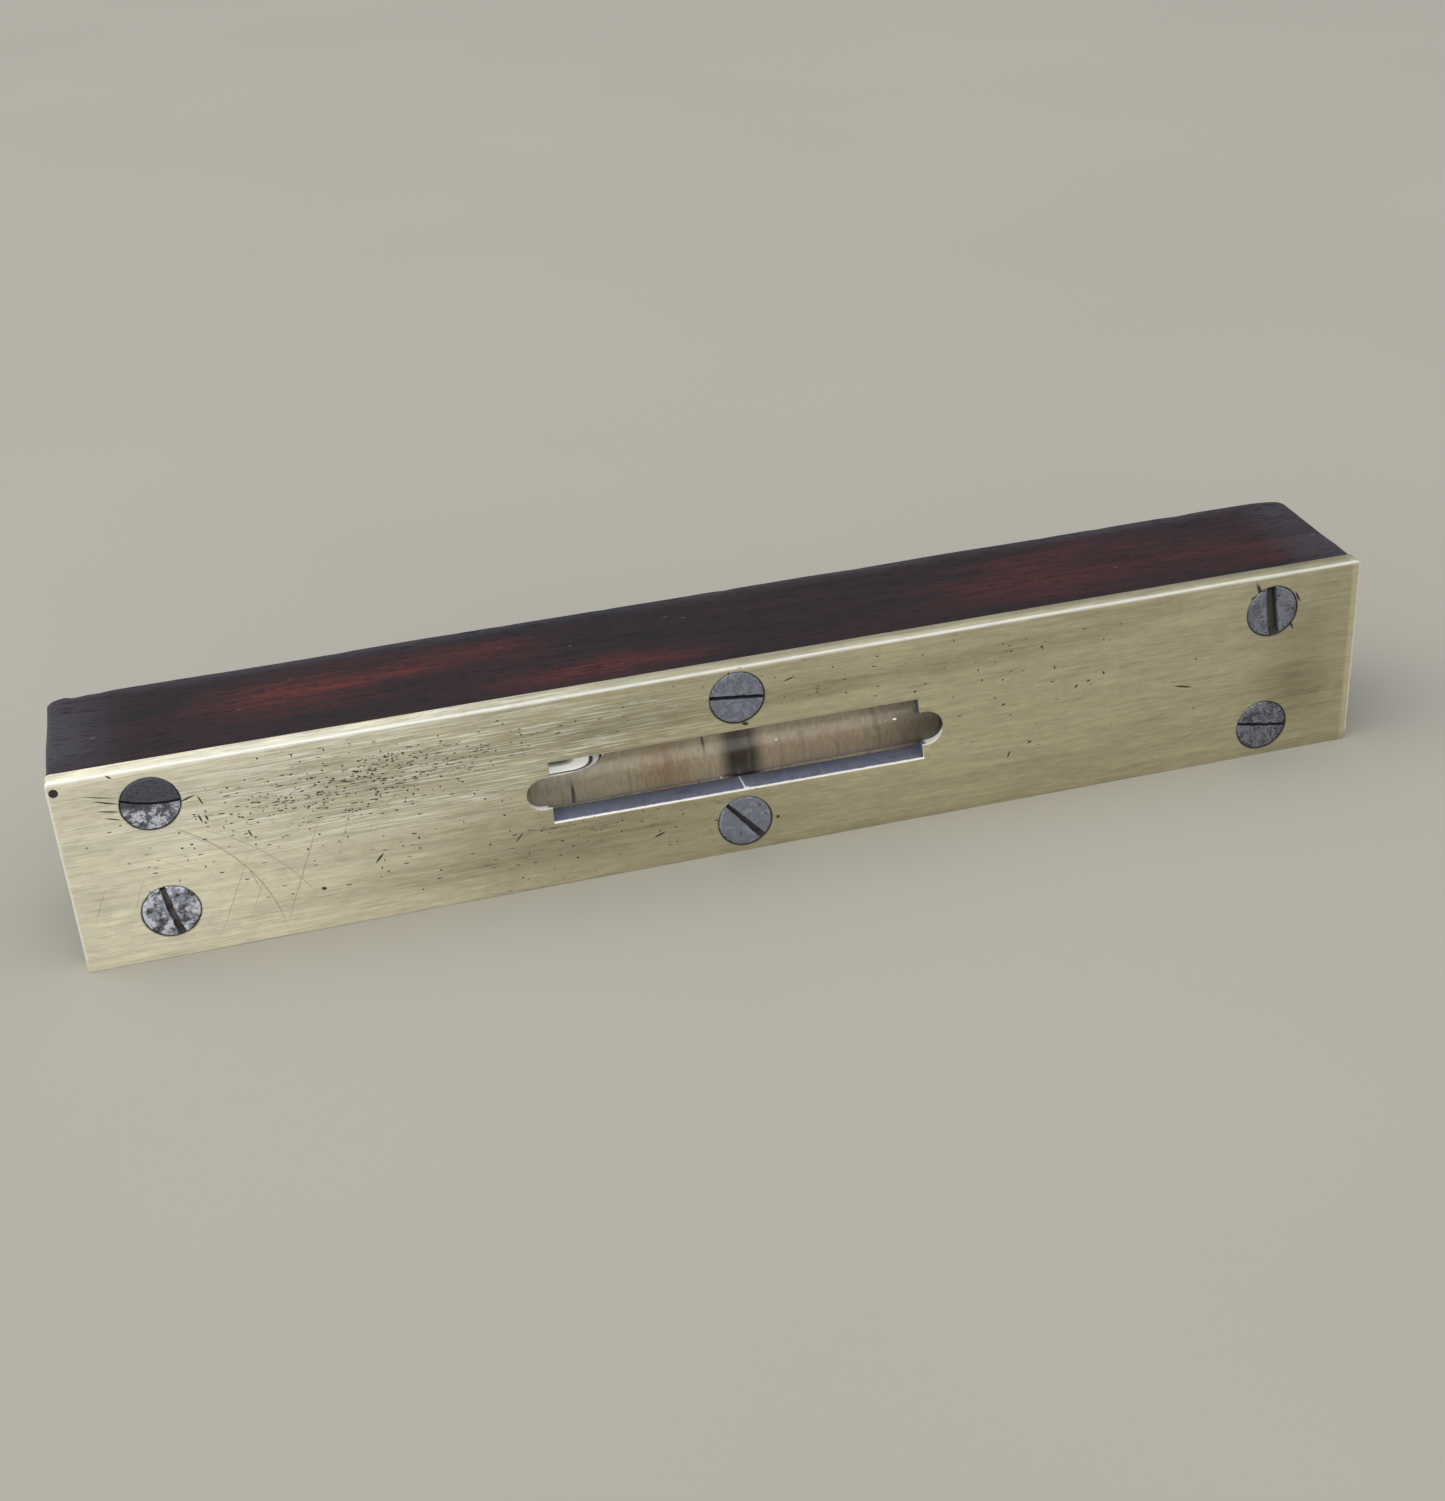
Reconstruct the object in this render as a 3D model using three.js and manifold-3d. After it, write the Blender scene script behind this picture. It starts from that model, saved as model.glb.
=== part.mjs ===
// A small antique spirit level: a rosewood stock with a brass top plate, six wood screws and a glass vial.
//
// Frame, in millimetres. The level lies on its side, as it is put down on a bench:
//   +X  along the level
//   +Y  from the brass top plate towards the sole, so the plate faces -Y
//   +Z  up, away from the side that the level lies on
// The origin is the middle of that side, at the height of the bench.
import * as THREE from "three";
import { mergeVertices } from "three/addons/utils/BufferGeometryUtils.js";
import Module from "manifold-3d";

const wasm = await Module();
wasm.setup();

// ---------------------------------------------------------------- driving dimensions
const LENGTH = 203; // an eight inch level
const WIDTH = 32; // across the top plate, which stands upright here
const HEIGHT = 28; // from the top plate's face to the sole

const FACE_Y = -HEIGHT / 2; // the top plate's outer face
const SOLE_Y = HEIGHT / 2;
const PLATE_THICKNESS = 3;
const PLATE_BACK_Y = FACE_Y + PLATE_THICKNESS;
const PLATE_CORNERS = { bottomLeft: 0.4, bottomRight: 2, topRight: 0.4, topLeft: 0.7 }; // worn corner radii

// The sole's end corners are worn round: how far along the sole, and how far up the end
const SOLE_WEAR = { left: { along: 4.5, up: 2.2 }, right: { along: 7, up: 2.6 } };

// The window: four hand-cut corners on the plate's face, and a lobe at each end
const WINDOW = { left: -30.4, rightTop: 27.5, rightBottom: 28.4 };
const WINDOW_TOP = { left: 21.45, right: 21.2 };
const WINDOW_BOTTOM = { left: 11, right: 10.6 };
const WINDOW_BEVEL = 0.85; // how far each long side leans in, through the plate
const LOBES = [
  { side: "left", x: -31.45, z: 16.3, r: 2.65 },
  { side: "right", x: 28.65, z: 15.9, r: 2.9 },
];

// No. 8 countersunk wood screws: place on the plate, and the slot's angle from +X and its width
const SCREWS = [
  { name: "screw_left_upper", x: -87.8, z: 26.2, slotAngle: -12, slotWidth: 0.9 },
  { name: "screw_left_lower", x: -88, z: 7.95, slotAngle: -78, slotWidth: 1.25 },
  { name: "screw_middle_upper", x: -0.95, z: 26.9, slotAngle: -7, slotWidth: 0.9 },
  { name: "screw_middle_lower", x: -0.85, z: 5.3, slotAngle: -50, slotWidth: 1.15 },
  { name: "screw_right_upper", x: 86.6, z: 25.8, slotAngle: -83, slotWidth: 1.8 },
  { name: "screw_right_lower", x: 86, z: 5.45, slotAngle: -10, slotWidth: 0.8 },
];
const HEAD_R = 4.2;
const HEAD_LAND = 0.3; // height of the head's straight edge
const HEAD_DEPTH = 2.5;
const HEAD_SUNK = 0.05; // how far the heads lie under the plate's face
const SLOT_DEPTH = 1.2;
const SHANK_R = 2.08;
const CORE_R = 1.5;
const SCREW_LENGTH = 19;
const THREAD_START = 7.5;
const THREAD_PITCH = 1.8;
const POINT_LENGTH = 3.2;
const SCREW_SIDES = 14;
const ROWS_PER_PITCH = 5;

const BRAD = { x: -100.45, z: 30.45, r: 0.6, length: 12 };

// The vial lies just under the plate's face, in a groove in the plate's back and in a mortise in the stock
const VIAL_X = -1.15; // the vial's middle, with the window and the middle screws
const VIAL_Z = 16.1;
const VIAL_LENGTH = 76;
const VIAL_R = 4.6;
const VIAL_WALL = 0.7;
const VIAL_UNDER_FACE = 0.55;
const VIAL_Y = FACE_Y + VIAL_UNDER_FACE + VIAL_R;
const VIAL_DOME = 3.2; // length of the vial's rounded end
const NIB_LENGTH = 2; // the drawn-off tip on the other end
const SEAL_DEPTH = 2; // how far the fused plug goes into the bore
const BORE_R = VIAL_R - VIAL_WALL;
const MORTISE = { length: 84, width: 12.6, depth: 11 };

// The plaster bed is in two halves, with an open gap between them behind the window's middle
const BED_GAP = { left: -2.3, right: 2 };
const BED_END = 3.2; // length of the packing round each end of the vial

// The bubble floats against the top of the bore. It is drawn where it lies at the left end of its run.
const BUBBLE_X = -28.6;
const BUBBLE_LENGTH = 15.4;
const BUBBLE_DEPTH = 2.3;
const BUBBLE_FLATNESS = 3.5; // 2 would make it an egg

const GAP = 0.15; // between neighbouring pieces
const CUT = 0.5; // how far a cutter runs past the face that it opens
const ROUND_SIDES = 32;

// ---------------------------------------------------------------- solids
// A closed geometry as a manifold-3d solid.
function solidOf(geometry) {
  const bare = geometry.clone();
  bare.deleteAttribute("normal");
  bare.deleteAttribute("uv");
  const merged = mergeVertices(bare, 1e-4);
  const mesh = new wasm.Mesh({
    numProp: 3,
    vertProperties: new Float32Array(merged.attributes.position.array),
    triVerts: new Uint32Array(merged.index.array),
  });
  return new wasm.Manifold(mesh);
}

function geometryOf(solid) {
  const mesh = solid.getMesh();
  const geometry = new THREE.BufferGeometry();
  geometry.setAttribute("position", new THREE.BufferAttribute(mesh.vertProperties, 3));
  geometry.setIndex(new THREE.BufferAttribute(mesh.triVerts, 1));
  geometry.computeVertexNormals();
  return geometry;
}

const cut = (body, cutters) => cutters.reduce((left, cutter) => left.subtract(cutter), body);

// A box between two corners.
function block(low, high) {
  const size = high.map((value, i) => value - low[i]);
  const middle = high.map((value, i) => (value + low[i]) / 2);
  return new THREE.BoxGeometry(...size).translate(...middle);
}

// An outline drawn in X and Z, thickened from yFront to yBack.
function slab(outline, yFront, yBack, curveSegments = 8) {
  const geometry = new THREE.ExtrudeGeometry(outline, {
    depth: yBack - yFront,
    bevelEnabled: false,
    curveSegments,
  });
  return geometry.rotateX(Math.PI / 2).translate(0, yBack, 0);
}

// A turned shape on an axis along Y: the profile lists [radius, y] from one end of the axis to the other.
function turnedAlongY(profile, sides = ROUND_SIDES) {
  const points = profile.map(([radius, y]) => new THREE.Vector2(radius, y));
  return new THREE.LatheGeometry(points, sides);
}

// The same on an axis along X: the profile lists [radius, x], and the axis runs through the vial's middle.
function turnedAlongX(profile, sides = ROUND_SIDES) {
  const flipped = profile.map(([radius, x]) => [radius, -x]);
  const geometry = turnedAlongY(flipped.reverse(), sides).rotateZ(Math.PI / 2);
  return geometry.translate(0, VIAL_Y, VIAL_Z);
}

const rod = (radius, yFront, yBack) =>
  turnedAlongY([[0, yFront], [radius, yFront], [radius, yBack], [0, yBack]], 24);

// A box whose eight corners are placed one by one: corner(right, back, top) gives each of them.
function hexahedron(corner) {
  const geometry = new THREE.BoxGeometry(1, 1, 1);
  const position = geometry.attributes.position;
  for (let i = 0; i < position.count; i += 1) {
    const place = corner(position.getX(i) > 0, position.getY(i) > 0, position.getZ(i) > 0);
    position.setXYZ(i, ...place);
  }
  return geometry;
}

// ---------------------------------------------------------------- outlines
// A long slot with round ends, drawn in X and Z.
function roundEndedSlot(length, width) {
  const r = width / 2;
  const straight = length / 2 - r;
  const outline = new THREE.Shape();
  outline.moveTo(VIAL_X - straight, VIAL_Z - r);
  outline.lineTo(VIAL_X + straight, VIAL_Z - r);
  outline.absarc(VIAL_X + straight, VIAL_Z, r, -Math.PI / 2, Math.PI / 2);
  outline.lineTo(VIAL_X - straight, VIAL_Z + r);
  outline.absarc(VIAL_X - straight, VIAL_Z, r, Math.PI / 2, (3 * Math.PI) / 2);
  return outline;
}

function plateOutline() {
  const half = LENGTH / 2;
  const { bottomLeft, bottomRight, topRight, topLeft } = PLATE_CORNERS;
  const quarter = Math.PI / 2;
  const outline = new THREE.Shape();
  outline.absarc(half - bottomRight, bottomRight, bottomRight, -quarter, 0);
  outline.absarc(half - topRight, WIDTH - topRight, topRight, 0, quarter);
  outline.absarc(-half + topLeft, WIDTH - topLeft, topLeft, quarter, 2 * quarter);
  outline.absarc(-half + bottomLeft, bottomLeft, bottomLeft, 2 * quarter, 3 * quarter);
  outline.closePath();
  return outline;
}

// One lobe of the window. It runs into the window's middle part by a millimetre.
function lobeOutline({ side, x, z, r }) {
  const left = side === "left";
  const reach = left ? WINDOW.left + 1 : WINDOW.rightTop - 1;
  const [start, end] = left ? [Math.PI / 2, (3 * Math.PI) / 2] : [-Math.PI / 2, Math.PI / 2];
  const outline = new THREE.Shape();
  outline.absarc(x, z, r, start, end);
  outline.lineTo(reach, z + (left ? -r : r));
  outline.lineTo(reach, z + (left ? r : -r));
  outline.closePath();
  return outline;
}

// ---------------------------------------------------------------- wooden stock
// The stock's profile in X and Y: a rectangle whose two sole corners are worn round.
function stock() {
  const half = LENGTH / 2;
  const { left, right } = SOLE_WEAR;
  const profile = new THREE.Shape();
  profile.moveTo(-half, PLATE_BACK_Y);
  profile.lineTo(half, PLATE_BACK_Y);
  profile.absellipse(half - right.along, SOLE_Y - right.up, right.along, right.up, 0, Math.PI / 2);
  profile.absellipse(-half + left.along, SOLE_Y - left.up, left.along, left.up, Math.PI / 2, Math.PI);
  profile.closePath();
  const body = new THREE.ExtrudeGeometry(profile, { depth: WIDTH, bevelEnabled: false, curveSegments: 8 });

  const mortiseOutline = roundEndedSlot(MORTISE.length, MORTISE.width);
  const mortise = slab(mortiseOutline, PLATE_BACK_Y - CUT, PLATE_BACK_Y + MORTISE.depth);
  const screwHole = rod(SHANK_R + 2 * GAP, PLATE_BACK_Y - CUT, FACE_Y + SCREW_LENGTH + CUT);
  const bradHole = rod(BRAD.r + GAP, PLATE_BACK_Y - CUT, FACE_Y + BRAD.length + CUT);
  const cutters = [
    mortise,
    ...SCREWS.map(({ x, z }) => screwHole.clone().translate(x, 0, z)),
    bradHole.translate(BRAD.x, 0, BRAD.z),
  ];
  return geometryOf(cut(solidOf(body), cutters.map(solidOf)));
}

// ---------------------------------------------------------------- brass top plate
// The window's middle part. Its long sides lean in by WINDOW_BEVEL from the face to the underside.
function windowCutter() {
  return hexahedron((right, back, top) => {
    const depth = back ? PLATE_THICKNESS + CUT : -CUT;
    const lean = (WINDOW_BEVEL * depth) / PLATE_THICKNESS;
    const edge = top ? WINDOW_TOP : WINDOW_BOTTOM;
    const z = (right ? edge.right : edge.left) + (top ? -lean : lean);
    const rightX = top ? WINDOW.rightTop : WINDOW.rightBottom;
    return [right ? rightX : WINDOW.left, FACE_Y + depth, z];
  });
}

function topPlate() {
  const body = slab(plateOutline(), FACE_Y, PLATE_BACK_Y);
  const slope = (HEAD_R - SHANK_R) / (HEAD_DEPTH - HEAD_LAND);
  const mouthR = HEAD_R + GAP;
  const throatR = SHANK_R + 2 * GAP;
  const land = HEAD_LAND + HEAD_SUNK;
  const countersink = turnedAlongY([
    [0, FACE_Y - CUT],
    [mouthR, FACE_Y - CUT],
    [mouthR, FACE_Y + land],
    [throatR, FACE_Y + land + (mouthR - throatR) / slope],
    [throatR, PLATE_BACK_Y + CUT],
    [0, PLATE_BACK_Y + CUT],
  ]);
  const cutters = [
    windowCutter(),
    ...LOBES.map((lobe) => slab(lobeOutline(lobe), FACE_Y - CUT, PLATE_BACK_Y + CUT)),
    vialPocket(),
    ...SCREWS.map(({ x, z }) => countersink.clone().translate(x, 0, z)),
    rod(BRAD.r + GAP / 2, FACE_Y - CUT, PLATE_BACK_Y + CUT).translate(BRAD.x, 0, BRAD.z),
  ];
  return geometryOf(cut(solidOf(body), cutters.map(solidOf)));
}

// ---------------------------------------------------------------- screws and brad
// The screw's radius at a depth and an angle: a cone head, a plain shank, then a thread that fades at the point.
function screwRadius(depth, turn) {
  if (depth <= HEAD_LAND) return HEAD_R;
  if (depth <= HEAD_DEPTH) return THREE.MathUtils.mapLinear(depth, HEAD_LAND, HEAD_DEPTH, HEAD_R, SHANK_R);
  if (depth <= THREAD_START) return SHANK_R;
  const phase = THREE.MathUtils.euclideanModulo((depth - THREAD_START) / THREAD_PITCH - turn, 1);
  const ridge = 1 - Math.min(1, Math.abs(phase - 0.5) * 4);
  const taper = Math.min(1, (SCREW_LENGTH - depth) / POINT_LENGTH);
  return (CORE_R + (SHANK_R - CORE_R) * ridge) * Math.max(taper, 0.02);
}

function screw(slotWidth) {
  const threadRows = Math.round(((SCREW_LENGTH - THREAD_START) / THREAD_PITCH) * ROWS_PER_PITCH);
  const depths = [0, HEAD_LAND, HEAD_DEPTH, THREAD_START];
  for (let row = 1; row <= threadRows; row += 1) {
    depths.push(THREAD_START + ((SCREW_LENGTH - THREAD_START) * row) / threadRows);
  }
  const vertices = [0, 0, 0];
  for (const depth of depths) {
    for (let side = 0; side < SCREW_SIDES; side += 1) {
      const turn = side / SCREW_SIDES;
      const radius = screwRadius(depth, turn);
      const angle = turn * 2 * Math.PI;
      vertices.push(radius * Math.cos(angle), depth, radius * Math.sin(angle));
    }
  }
  vertices.push(0, SCREW_LENGTH, 0);
  const last = vertices.length / 3 - 1;
  const at = (row, side) => 1 + row * SCREW_SIDES + (side % SCREW_SIDES);
  const faces = [];
  for (let side = 0; side < SCREW_SIDES; side += 1) {
    faces.push(0, at(0, side), at(0, side + 1));
    for (let row = 0; row < depths.length - 1; row += 1) {
      faces.push(at(row, side), at(row + 1, side), at(row + 1, side + 1));
      faces.push(at(row, side), at(row + 1, side + 1), at(row, side + 1));
    }
    faces.push(at(depths.length - 1, side), last, at(depths.length - 1, side + 1));
  }
  const body = new THREE.BufferGeometry();
  body.setAttribute("position", new THREE.Float32BufferAttribute(vertices, 3));
  body.setIndex(faces);
  const slot = block([-2 * HEAD_R, -CUT, -slotWidth / 2], [2 * HEAD_R, SLOT_DEPTH, slotWidth / 2]);
  return geometryOf(solidOf(body).subtract(solidOf(slot)));
}

function brad() {
  const point = BRAD.length - 2;
  return turnedAlongY([[0, 0], [BRAD.r, 0], [BRAD.r, point], [0, BRAD.length]], 12);
}

// ---------------------------------------------------------------- vial
const vialLeft = VIAL_X - VIAL_LENGTH / 2;
const vialRight = VIAL_X + VIAL_LENGTH / 2;
const tubeRight = vialRight - NIB_LENGTH;
const roomR = BORE_R - GAP;

// Points of a rounded end, from the axis out to the full radius: the end is `length` deep and starts at x.
function roundedEnd(x, length, radius, steps = 6) {
  const points = [];
  for (let step = 0; step <= steps; step += 1) {
    const angle = (step / steps) * (Math.PI / 2);
    points.push([radius * Math.sin(angle), x + length * (1 - Math.cos(angle))]);
  }
  return points;
}

// A glass tube, closed and rounded at the left end and open at the right.
function vialTube() {
  const outside = roundedEnd(vialLeft, VIAL_DOME, VIAL_R);
  const inside = roundedEnd(vialLeft + VIAL_WALL, VIAL_DOME - VIAL_WALL / 2, BORE_R);
  return turnedAlongX([...outside, [VIAL_R, tubeRight], [BORE_R, tubeRight], ...inside.reverse()]);
}

// The glass that closes the other end, with the nib left where it was drawn off in the flame.
function vialEndSeal() {
  const capStart = tubeRight + GAP;
  return turnedAlongX([
    [0, tubeRight - SEAL_DEPTH],
    [roomR, tubeRight - SEAL_DEPTH],
    [roomR, capStart],
    [VIAL_R - 0.3, capStart],
    [VIAL_R - 1.3, capStart + 0.8],
    [1.2, capStart + 1.1],
    [0.8, vialRight - 0.2],
    [0, vialRight],
  ]);
}

// All of the room inside the vial, from the rounded end to the seal.
function vialRoom() {
  const left = roundedEnd(vialLeft + VIAL_WALL + GAP, VIAL_DOME - VIAL_WALL / 2, roomR);
  const right = tubeRight - SEAL_DEPTH - GAP;
  return solidOf(turnedAlongX([...left, [roomR, right], [0, right]]));
}

// The room that the whole vial takes up in its neighbours.
function vialPocket() {
  const pocketR = VIAL_R + GAP;
  const left = roundedEnd(vialLeft - GAP, VIAL_DOME + GAP, pocketR);
  return turnedAlongX([...left, [pocketR, tubeRight + 2 * GAP], [pocketR - 1, vialRight + GAP], [0, vialRight + GAP]]);
}

// The spirit fills the room up to the level of the bubble's underside, which leaves the bubble's run free.
function spirit() {
  const runFloor = bubbleTop - BUBBLE_DEPTH - GAP;
  const run = block([vialLeft, VIAL_Y - VIAL_R, runFloor], [vialRight, VIAL_Y + VIAL_R, VIAL_Z + VIAL_R]);
  return geometryOf(vialRoom().subtract(solidOf(run)));
}

// The bubble hangs from the top of the bore like an upturned drop: flat underneath and oval in plan.
// It is trimmed to the room that it floats in.
const bubbleTop = VIAL_Z + roomR;
function bubble() {
  const drop = new THREE.SphereGeometry(1, 32, 20).rotateX(Math.PI / 2);
  const position = drop.attributes.position;
  for (let i = 0; i < position.count; i += 1) {
    const point = new THREE.Vector3().fromBufferAttribute(position, i);
    const across = Math.hypot(point.x, point.y);
    const norm = (across ** BUBBLE_FLATNESS + Math.abs(point.z) ** BUBBLE_FLATNESS) ** (1 / BUBBLE_FLATNESS);
    position.setXYZ(i, point.x / norm, point.y / norm, point.z / norm);
  }
  drop.scale(BUBBLE_LENGTH / 2, BORE_R, BUBBLE_DEPTH).translate(BUBBLE_X, VIAL_Y, bubbleTop);
  return geometryOf(vialRoom().intersect(solidOf(drop)));
}

// ---------------------------------------------------------------- plaster
// One half of the bed: a trough behind the vial as far as the gap, and packing round the vial's end.
function vialBed(side) {
  const plug = roundEndedSlot(MORTISE.length - 2 * GAP, MORTISE.width - 2 * GAP);
  const filled = solidOf(slab(plug, PLATE_BACK_Y, PLATE_BACK_Y + MORTISE.depth - GAP));
  const [gapSide, packingStart, end] = side === "left"
    ? [BED_GAP.left, vialLeft + BED_END, -LENGTH / 2]
    : [BED_GAP.right, vialRight - BED_END, LENGTH / 2];
  const span = (from, to, yFront) => solidOf(block(
    [Math.min(from, to), yFront, 0],
    [Math.max(from, to), SOLE_Y, WIDTH],
  ));
  const half = span(gapSide, packingStart, VIAL_Y).add(span(packingStart, end, PLATE_BACK_Y + GAP));
  return geometryOf(filled.intersect(half).subtract(solidOf(vialPocket())));
}

// ---------------------------------------------------------------- materials
const material = (color, roughness, metalness, opacity = 1) =>
  new THREE.MeshStandardMaterial({ color, roughness, metalness, opacity, transparent: opacity < 1 });
const rosewood = material(0x3a1d1c, 0.45, 0);
const brass = material(0xb3a878, 0.38, 1);
const steel = material(0x5d5e69, 0.5, 1);
const iron = material(0x35322f, 0.6, 1);
const glass = material(0xd8dccb, 0.05, 0, 0.3);
const liquid = material(0xb9a98a, 0.05, 0, 0.5);
const air = material(0xf2f4f0, 0.05, 0, 0.4);
const plaster = material(0x8f7f6b, 0.9, 0);

// ---------------------------------------------------------------- assembly
const level = new THREE.Group();

function place(name, geometry, finish, position = [0, 0, 0]) {
  const mesh = new THREE.Mesh(geometry, finish);
  mesh.name = name;
  mesh.position.set(...position);
  level.add(mesh);
  return mesh;
}

place("stock", stock(), rosewood);
place("top_plate", topPlate(), brass);
for (const { name, x, z, slotAngle, slotWidth } of SCREWS) {
  const mesh = place(name, screw(slotWidth), steel, [x, FACE_Y + HEAD_SUNK, z]);
  mesh.rotation.y = -THREE.MathUtils.degToRad(slotAngle);
}
place("locating_brad", brad(), iron, [BRAD.x, FACE_Y, BRAD.z]);
place("vial_tube", vialTube(), glass);
place("vial_end_seal", vialEndSeal(), glass);
place("spirit", spirit(), liquid);
place("bubble", bubble(), air);
for (const side of ["left", "right"]) {
  place(`vial_bed_${side}`, vialBed(side), plaster);
}

export default level;
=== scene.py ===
"""The looks of a small antique spirit level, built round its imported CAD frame.

Sizes are in millimetres and go to Blender's metres through MM. Only the lamp and the camera are placed in
metres. The level lies on its side, as the CAD has it: X along it, -Y out of its brass top plate, Z up.
"""

import math

import bmesh
import bpy
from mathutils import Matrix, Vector, noise


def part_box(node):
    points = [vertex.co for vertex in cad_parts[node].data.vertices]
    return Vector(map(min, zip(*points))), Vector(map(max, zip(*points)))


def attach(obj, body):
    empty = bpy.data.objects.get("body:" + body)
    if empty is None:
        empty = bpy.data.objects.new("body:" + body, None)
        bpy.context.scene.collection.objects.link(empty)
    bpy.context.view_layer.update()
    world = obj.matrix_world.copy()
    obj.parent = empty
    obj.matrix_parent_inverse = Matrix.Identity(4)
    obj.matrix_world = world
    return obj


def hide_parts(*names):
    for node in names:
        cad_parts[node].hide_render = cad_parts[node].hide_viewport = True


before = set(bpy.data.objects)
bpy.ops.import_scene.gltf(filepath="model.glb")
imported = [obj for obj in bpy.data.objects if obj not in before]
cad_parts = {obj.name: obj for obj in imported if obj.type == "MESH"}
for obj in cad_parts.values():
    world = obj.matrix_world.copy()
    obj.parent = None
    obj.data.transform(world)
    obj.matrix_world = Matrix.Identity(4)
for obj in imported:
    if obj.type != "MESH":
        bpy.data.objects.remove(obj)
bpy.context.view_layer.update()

MM = 0.001


def box_mm(node):
    """A CAD node's lowest and highest corners, in millimetres."""
    low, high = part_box(node)
    return low / MM, high / MM


PLATE_LOW, PLATE_HIGH = box_mm("top_plate")
STOCK_LOW, STOCK_HIGH = box_mm("stock")
VIAL_LOW, VIAL_HIGH = box_mm("vial_tube")
FACE_Y = PLATE_LOW.y
HALF_LENGTH = PLATE_HIGH.x
WIDTH = PLATE_HIGH.z
VIAL_R = (VIAL_HIGH.z - VIAL_LOW.z) / 2
VIAL_AXIS_Y = VIAL_LOW.y + VIAL_R
VIAL_AXIS_Z = VIAL_LOW.z + VIAL_R
VIAL_WALL = 0.7
BORE_R = VIAL_R - VIAL_WALL

SCREW_HEAD_R = 4.2
SHANK_R = 2.08
THREAD_PITCH = 1.8
THREAD_START = 7.5
WINDOW_ENDS = (-34.65, 31.85)  # the X of the window's two lobes, with some room
BUBBLE_FLATNESS = 3.5  # 2 would make the bubble an ellipsoid
ENDLESS = 9999  # a radius that makes a blob run right through the level


# ---------------------------------------------------------------- meshes
def linked_object(name, mesh):
    piece = bpy.data.objects.new(name, mesh)
    bpy.context.scene.collection.objects.link(piece)
    return piece


def object_from(name, bm, sharp_angle=35):
    """A piece from a bmesh in millimetres, shaded smooth up to sharp_angle."""
    bmesh.ops.scale(bm, vec=(MM, MM, MM), verts=bm.verts)
    bmesh.ops.recalc_face_normals(bm, faces=bm.faces)
    mesh = bpy.data.meshes.new(name)
    bm.to_mesh(mesh)
    bm.free()
    for name_left_over in ("custom_normal", "sharp_face", "sharp_edge"):
        if name_left_over in mesh.attributes:
            mesh.attributes.remove(mesh.attributes[name_left_over])
    mesh.shade_smooth()
    mesh.set_sharp_from_angle(angle=math.radians(sharp_angle))
    return linked_object(name, mesh)


def cad_shape(node):
    """A CAD node's shape as a bmesh in millimetres, with its flat faces merged."""
    bm = bmesh.new()
    bm.from_mesh(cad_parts[node].data)
    bmesh.ops.scale(bm, vec=(1 / MM, 1 / MM, 1 / MM), verts=bm.verts)
    bmesh.ops.remove_doubles(bm, verts=bm.verts, dist=0.001)
    bmesh.ops.dissolve_limit(bm, angle_limit=math.radians(1), verts=bm.verts, edges=bm.edges)
    return bm


def bevel_where(bm, chosen, offset, segments=3):
    """Rounds the edges whose two ends chosen() accepts."""
    edges = [e for e in bm.edges if chosen(e.verts[0].co, e.verts[1].co) and e.calc_face_angle(0) > 0.3]
    bmesh.ops.bevel(
        bm, geom=edges, offset=offset, segments=segments, profile=0.5, affect="EDGES", clamp_overlap=True
    )


def slice_along(bm, axis, low, high, step):
    """Cuts the shape at even steps along an axis, so that its surface can be worked."""
    normal = Vector((0, 0, 0))
    normal[axis] = 1
    for i in range(1, math.ceil((high - low) / step)):
        place = normal * (low + i * step)
        everything = bm.verts[:] + bm.edges[:] + bm.faces[:]
        bmesh.ops.bisect_plane(bm, geom=everything, dist=0.0005, plane_co=place, plane_no=normal)


def smooth_step(low, high, value):
    t = min(1, max(0, (value - low) / (high - low)))
    return t * t * (3 - 2 * t)


def wobble(point, sizes, seed):
    """Smooth noise from -1 to 1 with features of these sizes in millimetres."""
    place = Vector((point.x / sizes[0], point.y / sizes[1], point.z / sizes[2]))
    return noise.noise(place + Vector((seed, seed, seed)))


def apply_booleans(piece, cutters):
    """Cuts the cutters out of a piece, for good."""
    for cutter in cutters:
        modifier = piece.modifiers.new("cut", "BOOLEAN")
        modifier.operation = "DIFFERENCE"
        modifier.solver = "EXACT"
        modifier.object = cutter
    graph = bpy.context.evaluated_depsgraph_get()
    mesh = bpy.data.meshes.new_from_object(piece.evaluated_get(graph), depsgraph=graph)
    piece.modifiers.clear()
    piece.data = mesh
    for cutter in cutters:
        bpy.data.objects.remove(cutter)


def wear_edges(bm, low, high, reach, depth, nick_depth, seed):
    """Wears the outer edges of a box-shaped piece: a long slow wave, and small nicks along it."""
    for vert in bm.verts:
        p = vert.co
        push = Vector((0, 0, 0))
        nearness = []
        for axis in range(3):
            for side, gap in ((-1, p[axis] - low[axis]), (1, high[axis] - p[axis])):
                near = 1 - smooth_step(0, reach, gap)
                nearness.append(near)
                push[axis] -= side * near
        on_edge = sorted(nearness)[-2]
        slow = 0.5 + 0.5 * wobble(p, (17, 9, 9), seed)
        sharp = smooth_step(0.25, 0.6, wobble(p, (1.7, 1.7, 1.7), seed + 7))
        vert.co = p + push * on_edge * (depth * slow + nick_depth * sharp)


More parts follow.
